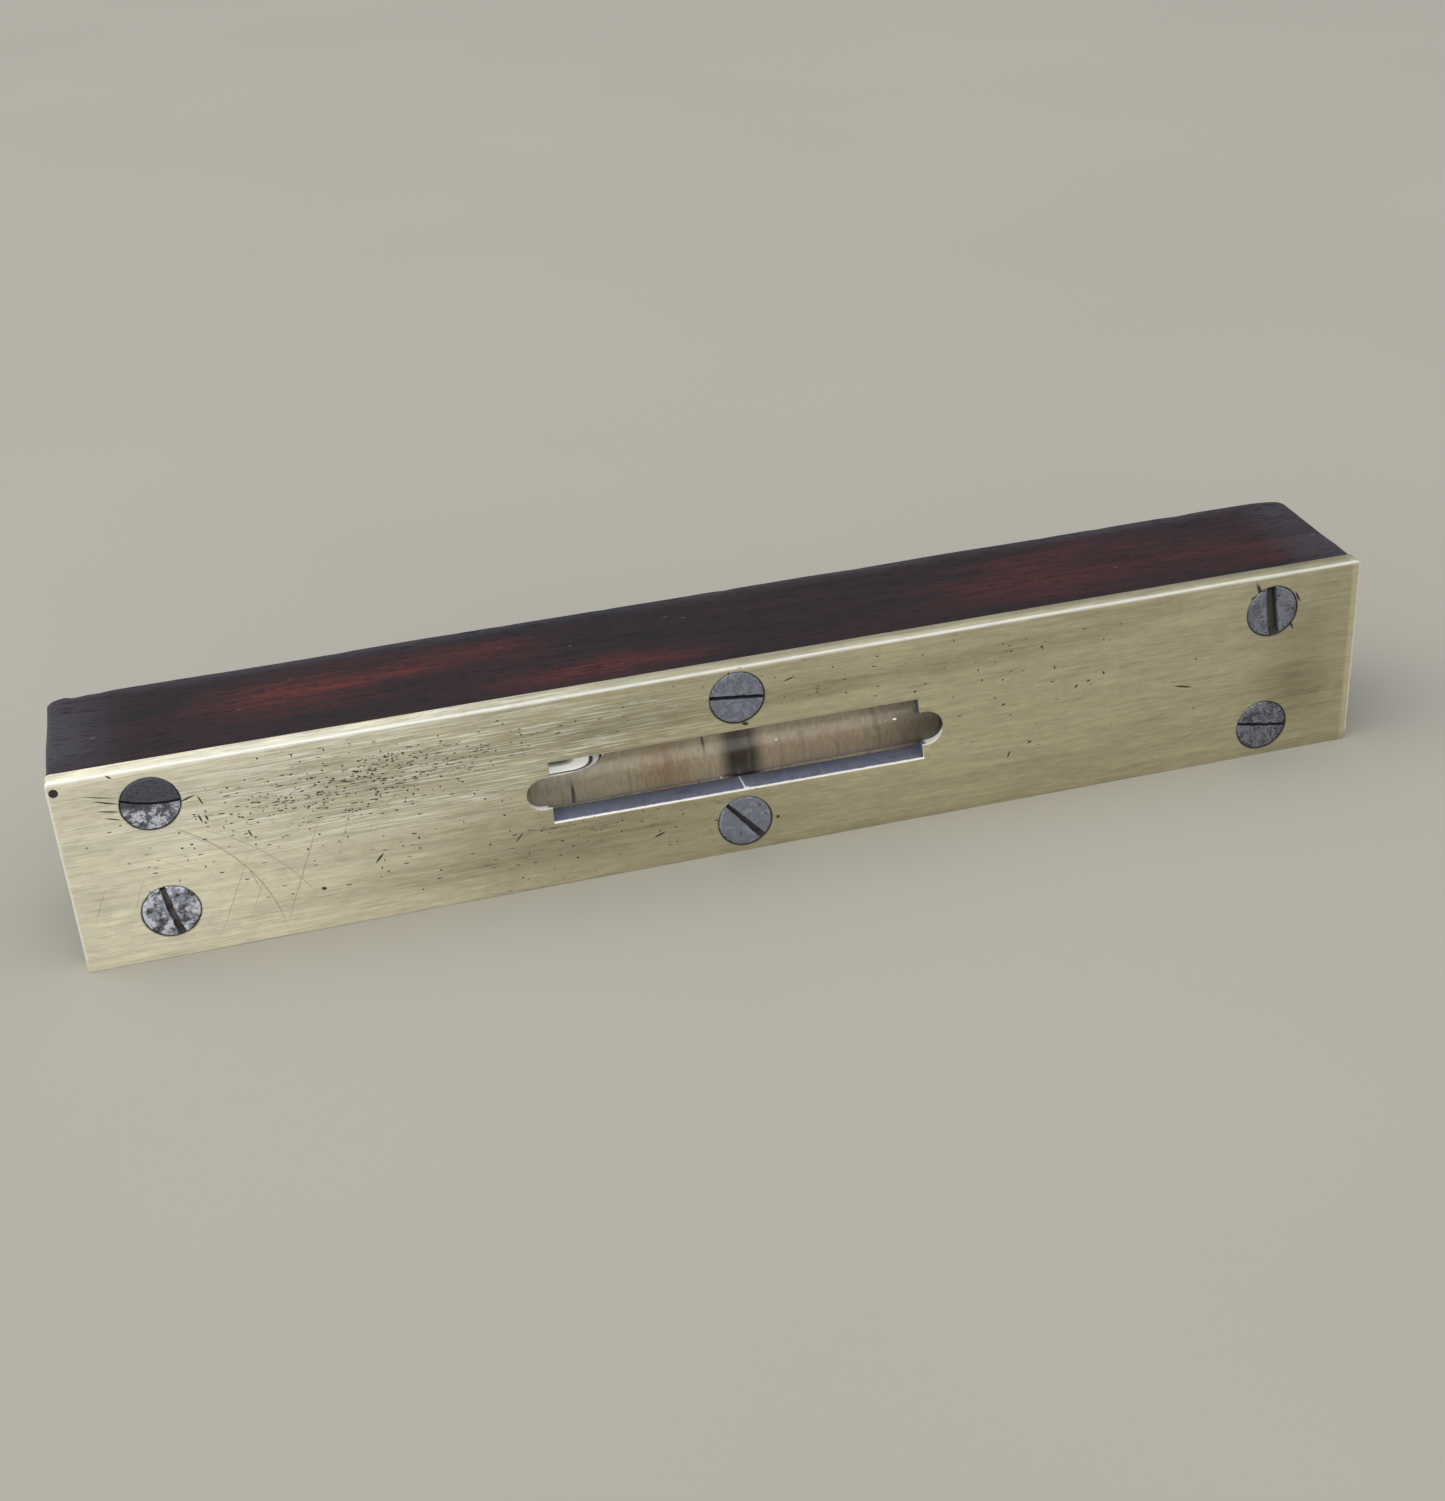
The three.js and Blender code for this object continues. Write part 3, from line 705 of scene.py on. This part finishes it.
def clear_material(name, ior, tint, tint_dark, streak_sizes):
    """Clear glass or liquid. Shadow rays go straight through, as light does through a thin clear wall."""
    s = Shader(name)
    haze = s.noise(streak_sizes, detail=3, roughness=0.6)
    colour = s.mix(s.ramp(haze, 0.4, 0.7), tint, tint_dark)
    s.set(base_color=colour, transmission_weight=1.0, ior=ior, roughness=0.0)
    s.set(specular_tint=(0.35, 0.35, 0.35, 1))
    is_shadow = s.add("ShaderNodeLightPath").outputs["Is Shadow Ray"]
    through = s.add("ShaderNodeBsdfTransparent")
    s.put(through.inputs["Color"], colour)
    both = s.add("ShaderNodeMixShader")
    s.link(is_shadow, both.inputs[0])
    s.link(s.surface.outputs[0], both.inputs[1])
    s.link(through.outputs[0], both.inputs[2])
    s.link(both.outputs[0], s.tree.nodes["Material Output"].inputs["Surface"])
    return s.material


def bubble_material(middle_x, top_z, half_length, depth):
    """The bubble's wall, with painted light: bright and dark bands that run alongside its outline, and
    glow faintly though the bubble is no lamp.
    """
    s = Shader("bubble_air")
    along = s.math("ABSOLUTE", s.times(s.minus(s.x, middle_x), 1 / half_length))
    down = s.math("ABSOLUTE", s.times(s.minus(s.z, top_z), 1 / depth))
    both = s.plus(s.math("POWER", along, BUBBLE_FLATNESS), s.math("POWER", down, BUBBLE_FLATNESS))
    outline = s.math("POWER", both, 1 / BUBBLE_FLATNESS)
    ripple = s.noise((4, 4, 1.2), detail=2)
    bands = s.add("ShaderNodeValToRGB")
    s.link(s.plus(outline, s.times(s.minus(ripple, 0.5), 0.05)), bands.inputs[0])
    # From the middle (0) to the outline (1): where each band turns, and how bright it is there
    stops = [
        (0.00, 0.05),
        (0.20, 0.10),
        (0.30, 0.45),
        (0.36, 1.00),
        (0.60, 1.00),
        (0.64, 0.03),
        (0.68, 0.04),
        (0.72, 0.60),
        (0.81, 0.50),
        (0.84, 0.03),
        (0.89, 0.03),
        (0.915, 1.00),
        (0.97, 1.00),
        (0.99, 0.25),
    ]
    elements = bands.color_ramp.elements
    while len(elements) < len(stops):
        elements.new(0.5)
    for element, (place, value) in zip(elements, stops):
        element.position = place
        element.color = (value, value, value * 0.98, 1)
    s.set(base_color=bands.outputs[0], roughness=0.08, ior=1.05, transmission_weight=0.15)
    # Painted light: the bands glow faintly of their own
    s.set(emission_color=bands.outputs[0], emission_strength=0.38)
    return s.material


def plaster_material():
    """Old plaster behind the vial, stained brown, darker towards the gap and the right-hand end, with
    painted shade along its top.
    """
    s = Shader("stained_plaster")
    stain = s.noise((7, 5, 2.5), detail=4, roughness=0.55)
    streaks = s.noise((1.3, 6, 6), detail=4, roughness=0.6, offset=3)
    grit = s.noise((0.5, 0.5, 0.5), detail=3, roughness=0.6, offset=8)
    tone = s.mix(s.ramp(stain, 0.35, 0.68), (0.90, 0.77, 0.62), (0.97, 0.85, 0.71))
    # Dark marks: the X and Z of each, its radii, and how dark it is
    rows = [
        (-26.3, 12.4, 0.5, 1.2, 1.0),
        (-27.9, 12.2, 0.35, 0.9, 0.7),
        (-19.7, 12.1, 0.5, 0.6, 1.0),
        (-5.1, 14.2, 0.4, 1.1, 0.9),
        (-6.2, 14.9, 1.6, 0.3, 0.9),
        (6.5, 14.8, 0.4, 0.6, 0.7),
    ]
    marks = s.ramp(s.spots(rows), 0.1, 0.7)
    colour = s.layered(
        tone,
        (s.times(s.spot_along_x(-12, 5), 0.7), (0.80, 0.55, 0.34)),
        (s.times(s.spot_along_x(13, 14), 1.0), (0.86, 0.71, 0.59)),
        (s.times(s.spot_along_x(-32, 12), 0.95), (0.96, 0.90, 0.76)),
        (s.times(s.ramp(s.x, 17, 31), 0.70), (0.24, 0.175, 0.12)),
        # Painted shade: the bed darker along its top
        (s.times(s.ramp(s.z, 13.7, 14.5), 0.45), (0.30, 0.23, 0.17)),
        (s.ramp(s.spot_along_x(0.7, 4.7), 0.1, 0.7, 0, 0.97), (0.060, 0.044, 0.033)),
        (s.ramp(streaks, 0.52, 0.70, 0, 0.40), (0.30, 0.225, 0.16)),
        (s.times(marks, s.ramp(grit, 0.3, 0.6, 0.4, 1)), (0.060, 0.046, 0.038)),
    )
    s.set(base_color=s.scaled(colour, s.ramp(grit, 0.3, 0.7, 0.85, 1.1)), roughness=0.85)
    s.bump(s.total(stain, s.times(streaks, 0.5), s.times(grit, 0.2)), 0.15)
    return s.material


# ---------------------------------------------------------------- pieces
def on_outline(p):
    """Whether a point of the plate lies on its outer edge, and not on one of its holes."""
    gap = min(p.x - PLATE_LOW.x, PLATE_HIGH.x - p.x, p.z, WIDTH - p.z)
    brad_low, brad_high = box_mm("locating_brad")
    middle = (brad_low + brad_high) / 2
    return gap < 0.7 and math.hypot(p.x - middle.x, p.z - middle.z) > 1


def in_window(p):
    """Whether a point of the plate lies on the window's edge or walls."""
    return WINDOW_ENDS[0] < p.x < WINDOW_ENDS[1] and 10 < p.z < 22


def top_plate(brass, wall):
    """The brass plate: worn arrises, a face that is no longer quite flat, and the window's filed walls."""
    bm = cad_shape("top_plate")

    def at_face(p):
        return abs(p.y - FACE_Y) < 0.01

    def outer_arris(a, b):
        return at_face(a) and at_face(b) and on_outline(a) and on_outline(b)

    def window_arris(a, b):
        return at_face(a) and at_face(b) and in_window(a) and in_window(b)

    bevel_where(bm, outer_arris, 0.38, 2)
    bevel_where(bm, window_arris, 0.16, 2)
    slice_along(bm, 0, PLATE_LOW.x, PLATE_HIGH.x, 1.3)
    slice_along(bm, 2, 0, WIDTH, 1.3)
    for vert in bm.verts:
        p = vert.co
        if p.y < FACE_Y + 0.5:
            dip = 0.5 + 0.5 * wobble(p, (22, 1, 9), 4)
            dent = smooth_step(0.45, 0.7, wobble(p, (2.4, 1, 1.6), 9))
            p.y += 0.035 * dip + 0.03 * dent
    wear_edges(bm, PLATE_LOW, Vector((PLATE_HIGH.x, 99, PLATE_HIGH.z)), 0.7, 0.10, 0.04, 15)
    bmesh.ops.triangulate(bm, faces=[f for f in bm.faces if len(f.verts) > 4])
    bm.normal_update()
    for face in bm.faces:
        middle = face.calc_center_median()
        if in_window(middle) and abs(face.normal.y) < 0.9 and middle.y > FACE_Y + 0.05:
            face.material_index = 1
    piece = object_from("brass_top_plate", bm)
    piece.data.materials.append(brass)
    piece.data.materials.append(wall)
    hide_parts("top_plate")
    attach(piece, "level")


def stock(rosewood):
    """The rosewood stock: softened arrises, a slightly wavy sole and small bruises."""
    bm = cad_shape("stock")

    def outer(p):
        gap = min(p.x - STOCK_LOW.x, STOCK_HIGH.x - p.x, p.z, WIDTH - p.z, STOCK_HIGH.y - p.y)
        return gap < 3 and p.y > STOCK_LOW.y - 0.01

    def round_over(a, b):
        away_from_plate = a.y > STOCK_LOW.y + 0.01 or b.y > STOCK_LOW.y + 0.01
        ends = min(abs(abs(a.x) - HALF_LENGTH), abs(abs(b.x) - HALF_LENGTH)) < 0.01
        on_side = (a.z < 0.01 and b.z < 0.01) or (a.z > WIDTH - 0.01 and b.z > WIDTH - 0.01)
        return away_from_plate and outer(a) and outer(b) and (on_side or ends)

    bevel_where(bm, round_over, 0.7, 4)
    slice_along(bm, 0, STOCK_LOW.x, STOCK_HIGH.x, 2)
    slice_along(bm, 1, STOCK_LOW.y, STOCK_HIGH.y, 2.5)
    slice_along(bm, 2, 0, WIDTH, 2.5)
    for vert in bm.verts:
        p = vert.co
        sink = 0.10 * (0.5 + 0.5 * wobble(p, (24, 7, 7), 51))
        bruise = 0.16 * smooth_step(0.42, 0.68, wobble(p, (4.5, 3, 3), 57))
        if p.z > WIDTH - 0.3:
            p.z -= sink + bruise
        if p.z < 0.3:
            p.z += sink
        if p.y > STOCK_HIGH.y - 0.3:
            p.y -= 2 * sink + bruise
    low = Vector((STOCK_LOW.x, -99, 0))
    wear_edges(bm, low, STOCK_HIGH, 2.2, 0.28, 0.10, 63)
    bmesh.ops.triangulate(bm, faces=[f for f in bm.faces if len(f.verts) > 4])
    piece = object_from("rosewood_stock", bm, 50)
    piece.data.materials.append(rosewood)
    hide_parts("stock")
    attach(piece, "level")


def lathe(bm, profile, segments, to_point):
    """Turns a profile of (radius, place) rows, the first and last on the axis, into a closed surface."""
    rows = []
    for radius, place in profile:
        if radius < 0.001:
            rows.append([bm.verts.new(to_point(0, place, 0))] * segments)
        else:
            turns = [math.tau * i / segments for i in range(segments)]
            rows.append([bm.verts.new(to_point(radius, place, turn)) for turn in turns])
    for a, b in zip(rows, rows[1:]):
        for i in range(segments):
            j = (i + 1) % segments
            corners = []
            for vert in (a[i], a[j], b[j], b[i]):
                if vert not in corners:
                    corners.append(vert)
            if len(corners) > 2:
                bm.faces.new(corners)


def screw_profile(length):
    """Rows of (radius, depth): the head with its rounded edge, the cone, the shank and the thread."""
    rows = [(0, 0), (0.7, 0), (1.4, 0), (2.1, 0), (2.8, 0), (3.4, 0), (3.85, 0)]
    rows += [(4.07, 0.02), (4.17, 0.08)]
    rows += [(SCREW_HEAD_R, 0.2), (SCREW_HEAD_R, 0.3)]
    rows += [(SCREW_HEAD_R - 2.12 * t, 0.3 + 2.2 * t) for t in (0.15, 0.4, 0.7, 0.95)]
    rows += [(SHANK_R, 2.6), (SHANK_R, 4.5), (SHANK_R, 6.5)]
    depth = 7.0
    while depth < length - 0.2:
        rows.append((1.5, depth))
        depth += 0.15
    return rows + [(0, length)]


def screw_radius(radius, depth, turn, length):
    """The screw's radius at a depth and a turn: the thread winds round the core, and the tip tapers."""
    if depth > 7:
        phase = ((depth - THREAD_START) / THREAD_PITCH - turn / math.tau) % 1
        ridge = max(0, 1 - abs(phase - 0.5) * 4) * smooth_step(7, 8.5, depth)
        taper = min(1, (length - depth) / 3.2)
        core = SHANK_R - 0.58 * smooth_step(7, 8, depth)
        radius = (core + (2.06 - core) * ridge) * max(taper, 0.02)
    return radius


def slot_cutter(top, x, z, look):
    """What is cut out of a screw's head: a slot with worn, wandering edges that open at the top."""
    angle = math.radians(look["angle"])
    along = Vector((math.cos(angle), 0, math.sin(angle)))
    across = Vector((-math.sin(angle), 0, math.cos(angle)))
    seed = look["seed"]
    bm = bmesh.new()
    levels = ((-0.4, 0.22), (0.0, 0.10), (0.14, 0.0), (1.2, -0.03))  # depth, and how far it opens there
    stations = 25
    ragged = look["ragged"]
    rows = []
    for i in range(stations):
        s = (2 * i / (stations - 1) - 1) * 5
        where = Vector((s, seed, 0))
        middle = look["bend"] * (s / SCREW_HEAD_R) ** 2 + 0.07 * wobble(where, (1.3, 1, 1), 1)
        half = look["width"] / 2 * (1 + look["flare"] * s / SCREW_HEAD_R)
        up = half + ragged * wobble(where, (0.7, 1, 1), 5)
        down = half + ragged * wobble(where, (0.7, 1, 1), 8)
        ring = []
        for depth, open_by in levels:
            point = Vector((x, top + depth, z)) + along * s + across * (middle + up + open_by)
            ring.append(bm.verts.new(point))
        for depth, open_by in levels[::-1]:
            point = Vector((x, top + depth, z)) + along * s + across * (middle - down - open_by)
            ring.append(bm.verts.new(point))
        rows.append(ring)
    for a, b in zip(rows, rows[1:]):
        for i in range(len(a)):
            j = (i + 1) % len(a)
            bm.faces.new((a[i], a[j], b[j], b[i]))
    bm.faces.new(rows[0][::-1])
    bm.faces.new(rows[-1])
    return object_from("slot_cutter", bm)


def screw(node, look):
    """A hand-finished countersunk wood screw with a worn slot. Gives back its middle on the plate."""
    low, high = box_mm(node)
    x, z = (low.x + high.x) / 2, (low.z + high.z) / 2
    length = high.y - low.y

    def to_point(radius, depth, turn):
        r = screw_radius(radius, depth, turn, length)
        point = Vector((x + r * math.cos(turn), low.y + depth, z + r * math.sin(turn)))
        if depth < 0.1:
            point.y += 0.035 * (0.5 + 0.5 * wobble(point, (1.3, 1.3, 1.3), look["seed"]))
        return point

    bm = bmesh.new()
    lathe(bm, screw_profile(length), 72, to_point)
    piece = object_from(node.replace("screw", "worn_screw"), bm, 30)
    apply_booleans(piece, [slot_cutter(low.y, x, z, look)])
    piece.data.shade_smooth()
    piece.data.set_sharp_from_angle(angle=math.radians(32))
    piece.data.materials.clear()
    piece.data.materials.append(steel_material(f"screw_steel_{look['seed']}", z, look))
    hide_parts(node)
    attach(piece, "level")
    return x, z


def vial_point(radius, x, turn):
    return Vector((x, VIAL_AXIS_Y + radius * math.cos(turn), VIAL_AXIS_Z + radius * math.sin(turn)))


def dome(x, length, radius, steps=14):
    """Rows of a rounded left end, from the axis out to the full radius."""
    quarter = math.pi / 2
    return [
        (radius * math.sin(quarter * i / steps), x + length * (1 - math.cos(quarter * i / steps)))
        for i in range(steps + 1)
    ]


def turned_on_vial_axis(name, profile, material, segments=96):
    bm = bmesh.new()
    lathe(bm, profile, segments, vial_point)
    piece = object_from(name, bm, 50)
    piece.data.materials.append(material)
    return piece


def straight(radius, start, end, step=2.5):
    """Rows along a straight stretch, without its first end."""
    count = max(1, round(abs(end - start) / step))
    return [(radius, start + (end - start) * (i + 1) / count) for i in range(count)]


def vial(glass, spirit):
    """The glass tube with its rounded end, the drawn-off seal at the other, and the spirit inside."""
    left, right = VIAL_LOW.x, VIAL_HIGH.x
    outside = dome(left, 3.2, VIAL_R)
    inside = dome(left + VIAL_WALL, 2.85, BORE_R)
    profile = outside + straight(VIAL_R, outside[-1][1], right - 0.15)
    profile += [(VIAL_R - 0.05, right - 0.04), (VIAL_R - 0.18, right), (BORE_R + 0.18, right)]
    profile += [(BORE_R + 0.05, right - 0.04), (BORE_R, right - 0.15)]
    profile += straight(BORE_R, right - 0.15, inside[-1][1]) + inside[-2::-1]
    tube = turned_on_vial_axis("glass_vial", profile, glass)
    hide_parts("vial_tube")
    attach(tube, "level")

    seal_low, seal_high = box_mm("vial_end_seal")
    inner, outer = seal_low.x, seal_high.x
    fused = [(0, inner + 0.5), (1.2, inner + 0.42), (2.3, inner + 0.2), (3.2, inner + 0.02), (3.7, inner)]
    fused += [(BORE_R - 0.1, inner + 0.1), (BORE_R - 0.1, right + 0.16)]
    fused += [(VIAL_R - 0.45, right + 0.17), (VIAL_R - 0.5, right + 0.25), (VIAL_R - 1.1, right + 0.62)]
    fused += [(2.4, right + 0.95), (1.5, right + 1.12), (1.15, right + 1.3), (0.85, right + 1.6)]
    fused += [(0.62, outer - 0.16), (0.3, outer - 0.02), (0, outer)]
    seal = turned_on_vial_axis("vial_seal", fused, glass)
    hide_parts("vial_end_seal")
    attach(seal, "level")

    liquid_r = BORE_R + 0.01
    rows = dome(left + VIAL_WALL - 0.01, 2.85, liquid_r)
    rows += straight(liquid_r, rows[-1][1], inner - 0.1) + [(0, inner - 0.1)]
    liquid = turned_on_vial_axis("spirit_filling", rows, spirit)
    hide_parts("spirit")
    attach(liquid, "level")


def bubble():
    """The bubble: flat underneath, oval in plan, and pressed against the top of the bore."""
    low, high = box_mm("bubble")
    middle_x = high.x - 7.7
    half_length, half_width, depth = high.x - middle_x, BORE_R, high.z - low.z
    room_r = BORE_R - 0.04
    dome_x = VIAL_LOW.x + VIAL_WALL + 2.85
    bm = bmesh.new()
    bmesh.ops.create_icosphere(bm, subdivisions=5, radius=1)
    for vert in bm.verts:
        p = vert.co
        across = math.hypot(p.x, p.y)
        size = (across**BUBBLE_FLATNESS + abs(p.z) ** BUBBLE_FLATNESS) ** (1 / BUBBLE_FLATNESS)
        x = middle_x + half_length * p.x / size
        y = half_width * p.y / size
        z = high.z + 0.1 - VIAL_AXIS_Z + (depth + 0.1) * p.z / size
        reach = math.hypot(y, z)
        room = room_r
        if x < dome_x:
            room = room_r * math.sqrt(max(0.02, 1 - ((x - dome_x) / 2.81) ** 2))
        if reach > room:
            y, z = y * room / reach, z * room / reach
        vert.co = (x, VIAL_AXIS_Y + y, VIAL_AXIS_Z + z)
    piece = object_from("air_bubble", bm, 60)
    piece.data.materials.append(bubble_material(middle_x, high.z, half_length, depth))
    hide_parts("bubble")
    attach(piece, "bubble")


def specks(chalk):
    """White specks that have got in under the plate and lie on the glass: X, Z, and half of each size."""
    rows = ((5, 18.1, 0.2, 0.2), (24, 18.0, 0.38, 0.2), (-3.7, 12.4, 0.2, 0.22), (22.6, 18.0, 0.1, 0.1))
    bm = bmesh.new()
    for x, z, long, high in rows:
        up = z - VIAL_AXIS_Z
        y = VIAL_AXIS_Y - math.sqrt(VIAL_R**2 - up**2)
        made = bmesh.ops.create_icosphere(bm, subdivisions=2, radius=1)
        for vert in made["verts"]:
            p = vert.co * (1 + 0.25 * noise.noise(vert.co * 1.3 + Vector((x, 0, 0))))
            vert.co = Vector((x + p.x * long, y - 0.02 + p.y * 0.07, z + p.z * high))
    piece = object_from("dust_specks", bm, 60)
    piece.data.materials.append(chalk)
    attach(piece, "level")


def chalk_material():
    s = Shader("chalk_dust")
    grit = s.noise((0.1, 0.1, 0.1), detail=2)
    s.set(base_color=s.mix(grit, (0.95, 0.95, 0.92), (0.80, 0.80, 0.76)), roughness=0.9)
    s.bump(grit, 0.03)
    return s.material


def vial_bed(side, plaster):
    """Half of the plaster bed, with an uneven, slightly shrunken surface round the vial."""
    node = f"vial_bed_{side}"
    low, high = box_mm(node)
    gap_x = high.x if side == "left" else low.x
    bm = cad_shape(node)
    slice_along(bm, 0, low.x, high.x, 1.2)
    slice_along(bm, 1, low.y, high.y, 1.2)
    slice_along(bm, 2, low.z, high.z, 1.2)
    for vert in bm.verts:
        p = vert.co
        out = Vector((0, p.y - VIAL_AXIS_Y, p.z - VIAL_AXIS_Z))
        if out.length < VIAL_R + 0.6:
            lump = 0.5 + 0.5 * wobble(p, (2.2, 2.2, 2.2), 71)
            crumbled = smooth_step(2.2, 0, abs(p.x - gap_x)) * (0.6 + 0.4 * wobble(p, (1, 1, 1), 77))
            vert.co = p + out.normalized() * (0.22 * lump + 0.9 * crumbled)
        if abs(p.x - gap_x) < 0.01:
            vert.co.x = math.copysign(0.02, -gap_x)
    bmesh.ops.triangulate(bm, faces=[f for f in bm.faces if len(f.verts) > 4])
    piece = object_from(f"plaster_bed_{side}", bm, 40)
    piece.data.materials.append(plaster)
    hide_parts(node)
    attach(piece, "level")


# ---------------------------------------------------------------- stage
def floor_material():
    s = Shader("studio_floor")
    soft = s.noise((160, 160, 160), detail=2)
    s.set(base_color=s.mix(soft, (0.345, 0.326, 0.280), (0.377, 0.356, 0.305)), roughness=0.9)
    return s.material


def floor():
    bm = bmesh.new()
    bmesh.ops.create_grid(bm, x_segments=2, y_segments=2, size=3000)
    piece = object_from("studio_floor", bm)
    piece.data.materials.append(floor_material())


def area_light(name, place, target, size, energy, colour):
    light = bpy.data.lights.new(name, "AREA")
    light.shape = "DISK"
    light.size = size
    light.energy = energy
    light.color = colour
    lamp = bpy.data.objects.new(name, light)
    bpy.context.scene.collection.objects.link(lamp)
    lamp.location = place
    lamp.rotation_euler = (Vector(target) - Vector(place)).to_track_quat("-Z", "Y").to_euler()


def lights():
    """A sky that is brighter at the upper left in front, and one soft lamp high on the left."""
    world = bpy.data.worlds.new("soft_sky")
    bpy.context.scene.world = world
    world.use_nodes = True
    nodes, links = world.node_tree.nodes, world.node_tree.links
    direction = nodes.new("ShaderNodeTexCoord")
    towards = nodes.new("ShaderNodeVectorMath")
    towards.operation = "DOT_PRODUCT"
    towards.inputs[1].default_value = (-0.52, -0.52, 0.68)
    overcast = nodes.new("ShaderNodeMapRange")
    for i, value in enumerate((-0.3, 1, 0.26, 1.75)):  # from low, from high, to low, to high
        overcast.inputs[i + 1].default_value = value
    links.new(direction.outputs["Generated"], towards.inputs[0])
    links.new(towards.outputs["Value"], overcast.inputs[0])
    background = nodes["Background"]
    background.inputs["Color"].default_value = (0.97, 0.985, 1.0, 1)
    links.new(overcast.outputs[0], background.inputs["Strength"])
    area_light("sky_window", (-0.62, 0.10, 0.90), (0, 0, 0), 0.8, 2.2, (1.0, 0.99, 0.97))


def camera():
    data = bpy.data.cameras.new("camera")
    data.lens = 52.8
    data.sensor_width = 36
    data.clip_start = 0.01
    piece = bpy.data.objects.new("camera", data)
    bpy.context.scene.collection.objects.link(piece)
    piece.location = (-0.0677, -0.2985, 0.1814)
    piece.rotation_euler = [math.radians(turn) for turn in (60.74, 3.34, -14.54)]
    bpy.context.scene.camera = piece


# ---------------------------------------------------------------- assembly
# Each screw's slot: its angle from +X in degrees, its width, and how far it bends, widens and wanders.
# Then its surface: how bright its scale is, how much bare metal and rust shows, and how far above the
# screw's middle its painted shade begins.
SCREW_LOOKS = {
    "screw_left_upper": dict(
        angle=-9, width=0.34, bend=0.5, flare=0.1, ragged=0.06,
        seed=1, scale=0.75, bare=0.9, rust=0.75, painted_shade_above=0.3,
    ),
    "screw_left_lower": dict(
        angle=-79, width=1.0, bend=0.15, flare=0.12, ragged=0.22,
        seed=2, scale=2.6, bare=1.0, rust=1.0, painted_shade_above=9,
    ),
    "screw_middle_upper": dict(
        angle=-7, width=0.60, bend=0.0, flare=0.0, ragged=0.03,
        seed=3, scale=1.15, bare=0.16, rust=0.12, painted_shade_above=9,
    ),
    "screw_middle_lower": dict(
        angle=-50, width=0.80, bend=0.0, flare=0.30, ragged=0.10,
        seed=4, scale=1.5, bare=0.22, rust=0.15, painted_shade_above=9,
    ),
    "screw_right_upper": dict(
        angle=-83, width=1.60, bend=0.10, flare=0.05, ragged=0.05,
        seed=5, scale=0.85, bare=0.12, rust=0.55, painted_shade_above=9,
    ),
    "screw_right_lower": dict(
        angle=-10, width=0.50, bend=0.10, flare=0.0, ragged=0.10,
        seed=6, scale=0.50, bare=0.14, rust=0.90, painted_shade_above=9,
    ),
}

camera()
lights()
floor()
screw_places = [screw(node, look) for node, look in SCREW_LOOKS.items()]
top_plate(brass_material(screw_places), filed_wall_material())
stock(rosewood_material())
glass = clear_material("old_glass", 1.47, (0.98, 0.98, 0.965), (0.96, 0.965, 0.945), (30, 2, 2))
spirit = clear_material("spirit_liquid", 1.36, (0.99, 0.955, 0.895), (0.97, 0.93, 0.86), (20, 6, 6))
vial(glass, spirit)
bubble()
plaster = plaster_material()
vial_bed("left", plaster)
vial_bed("right", plaster)
specks(chalk_material())
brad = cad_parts["locating_brad"]
brad.data.materials.clear()
brad.data.materials.append(brad_material())
bpy.context.scene.view_settings.view_transform = "Standard"
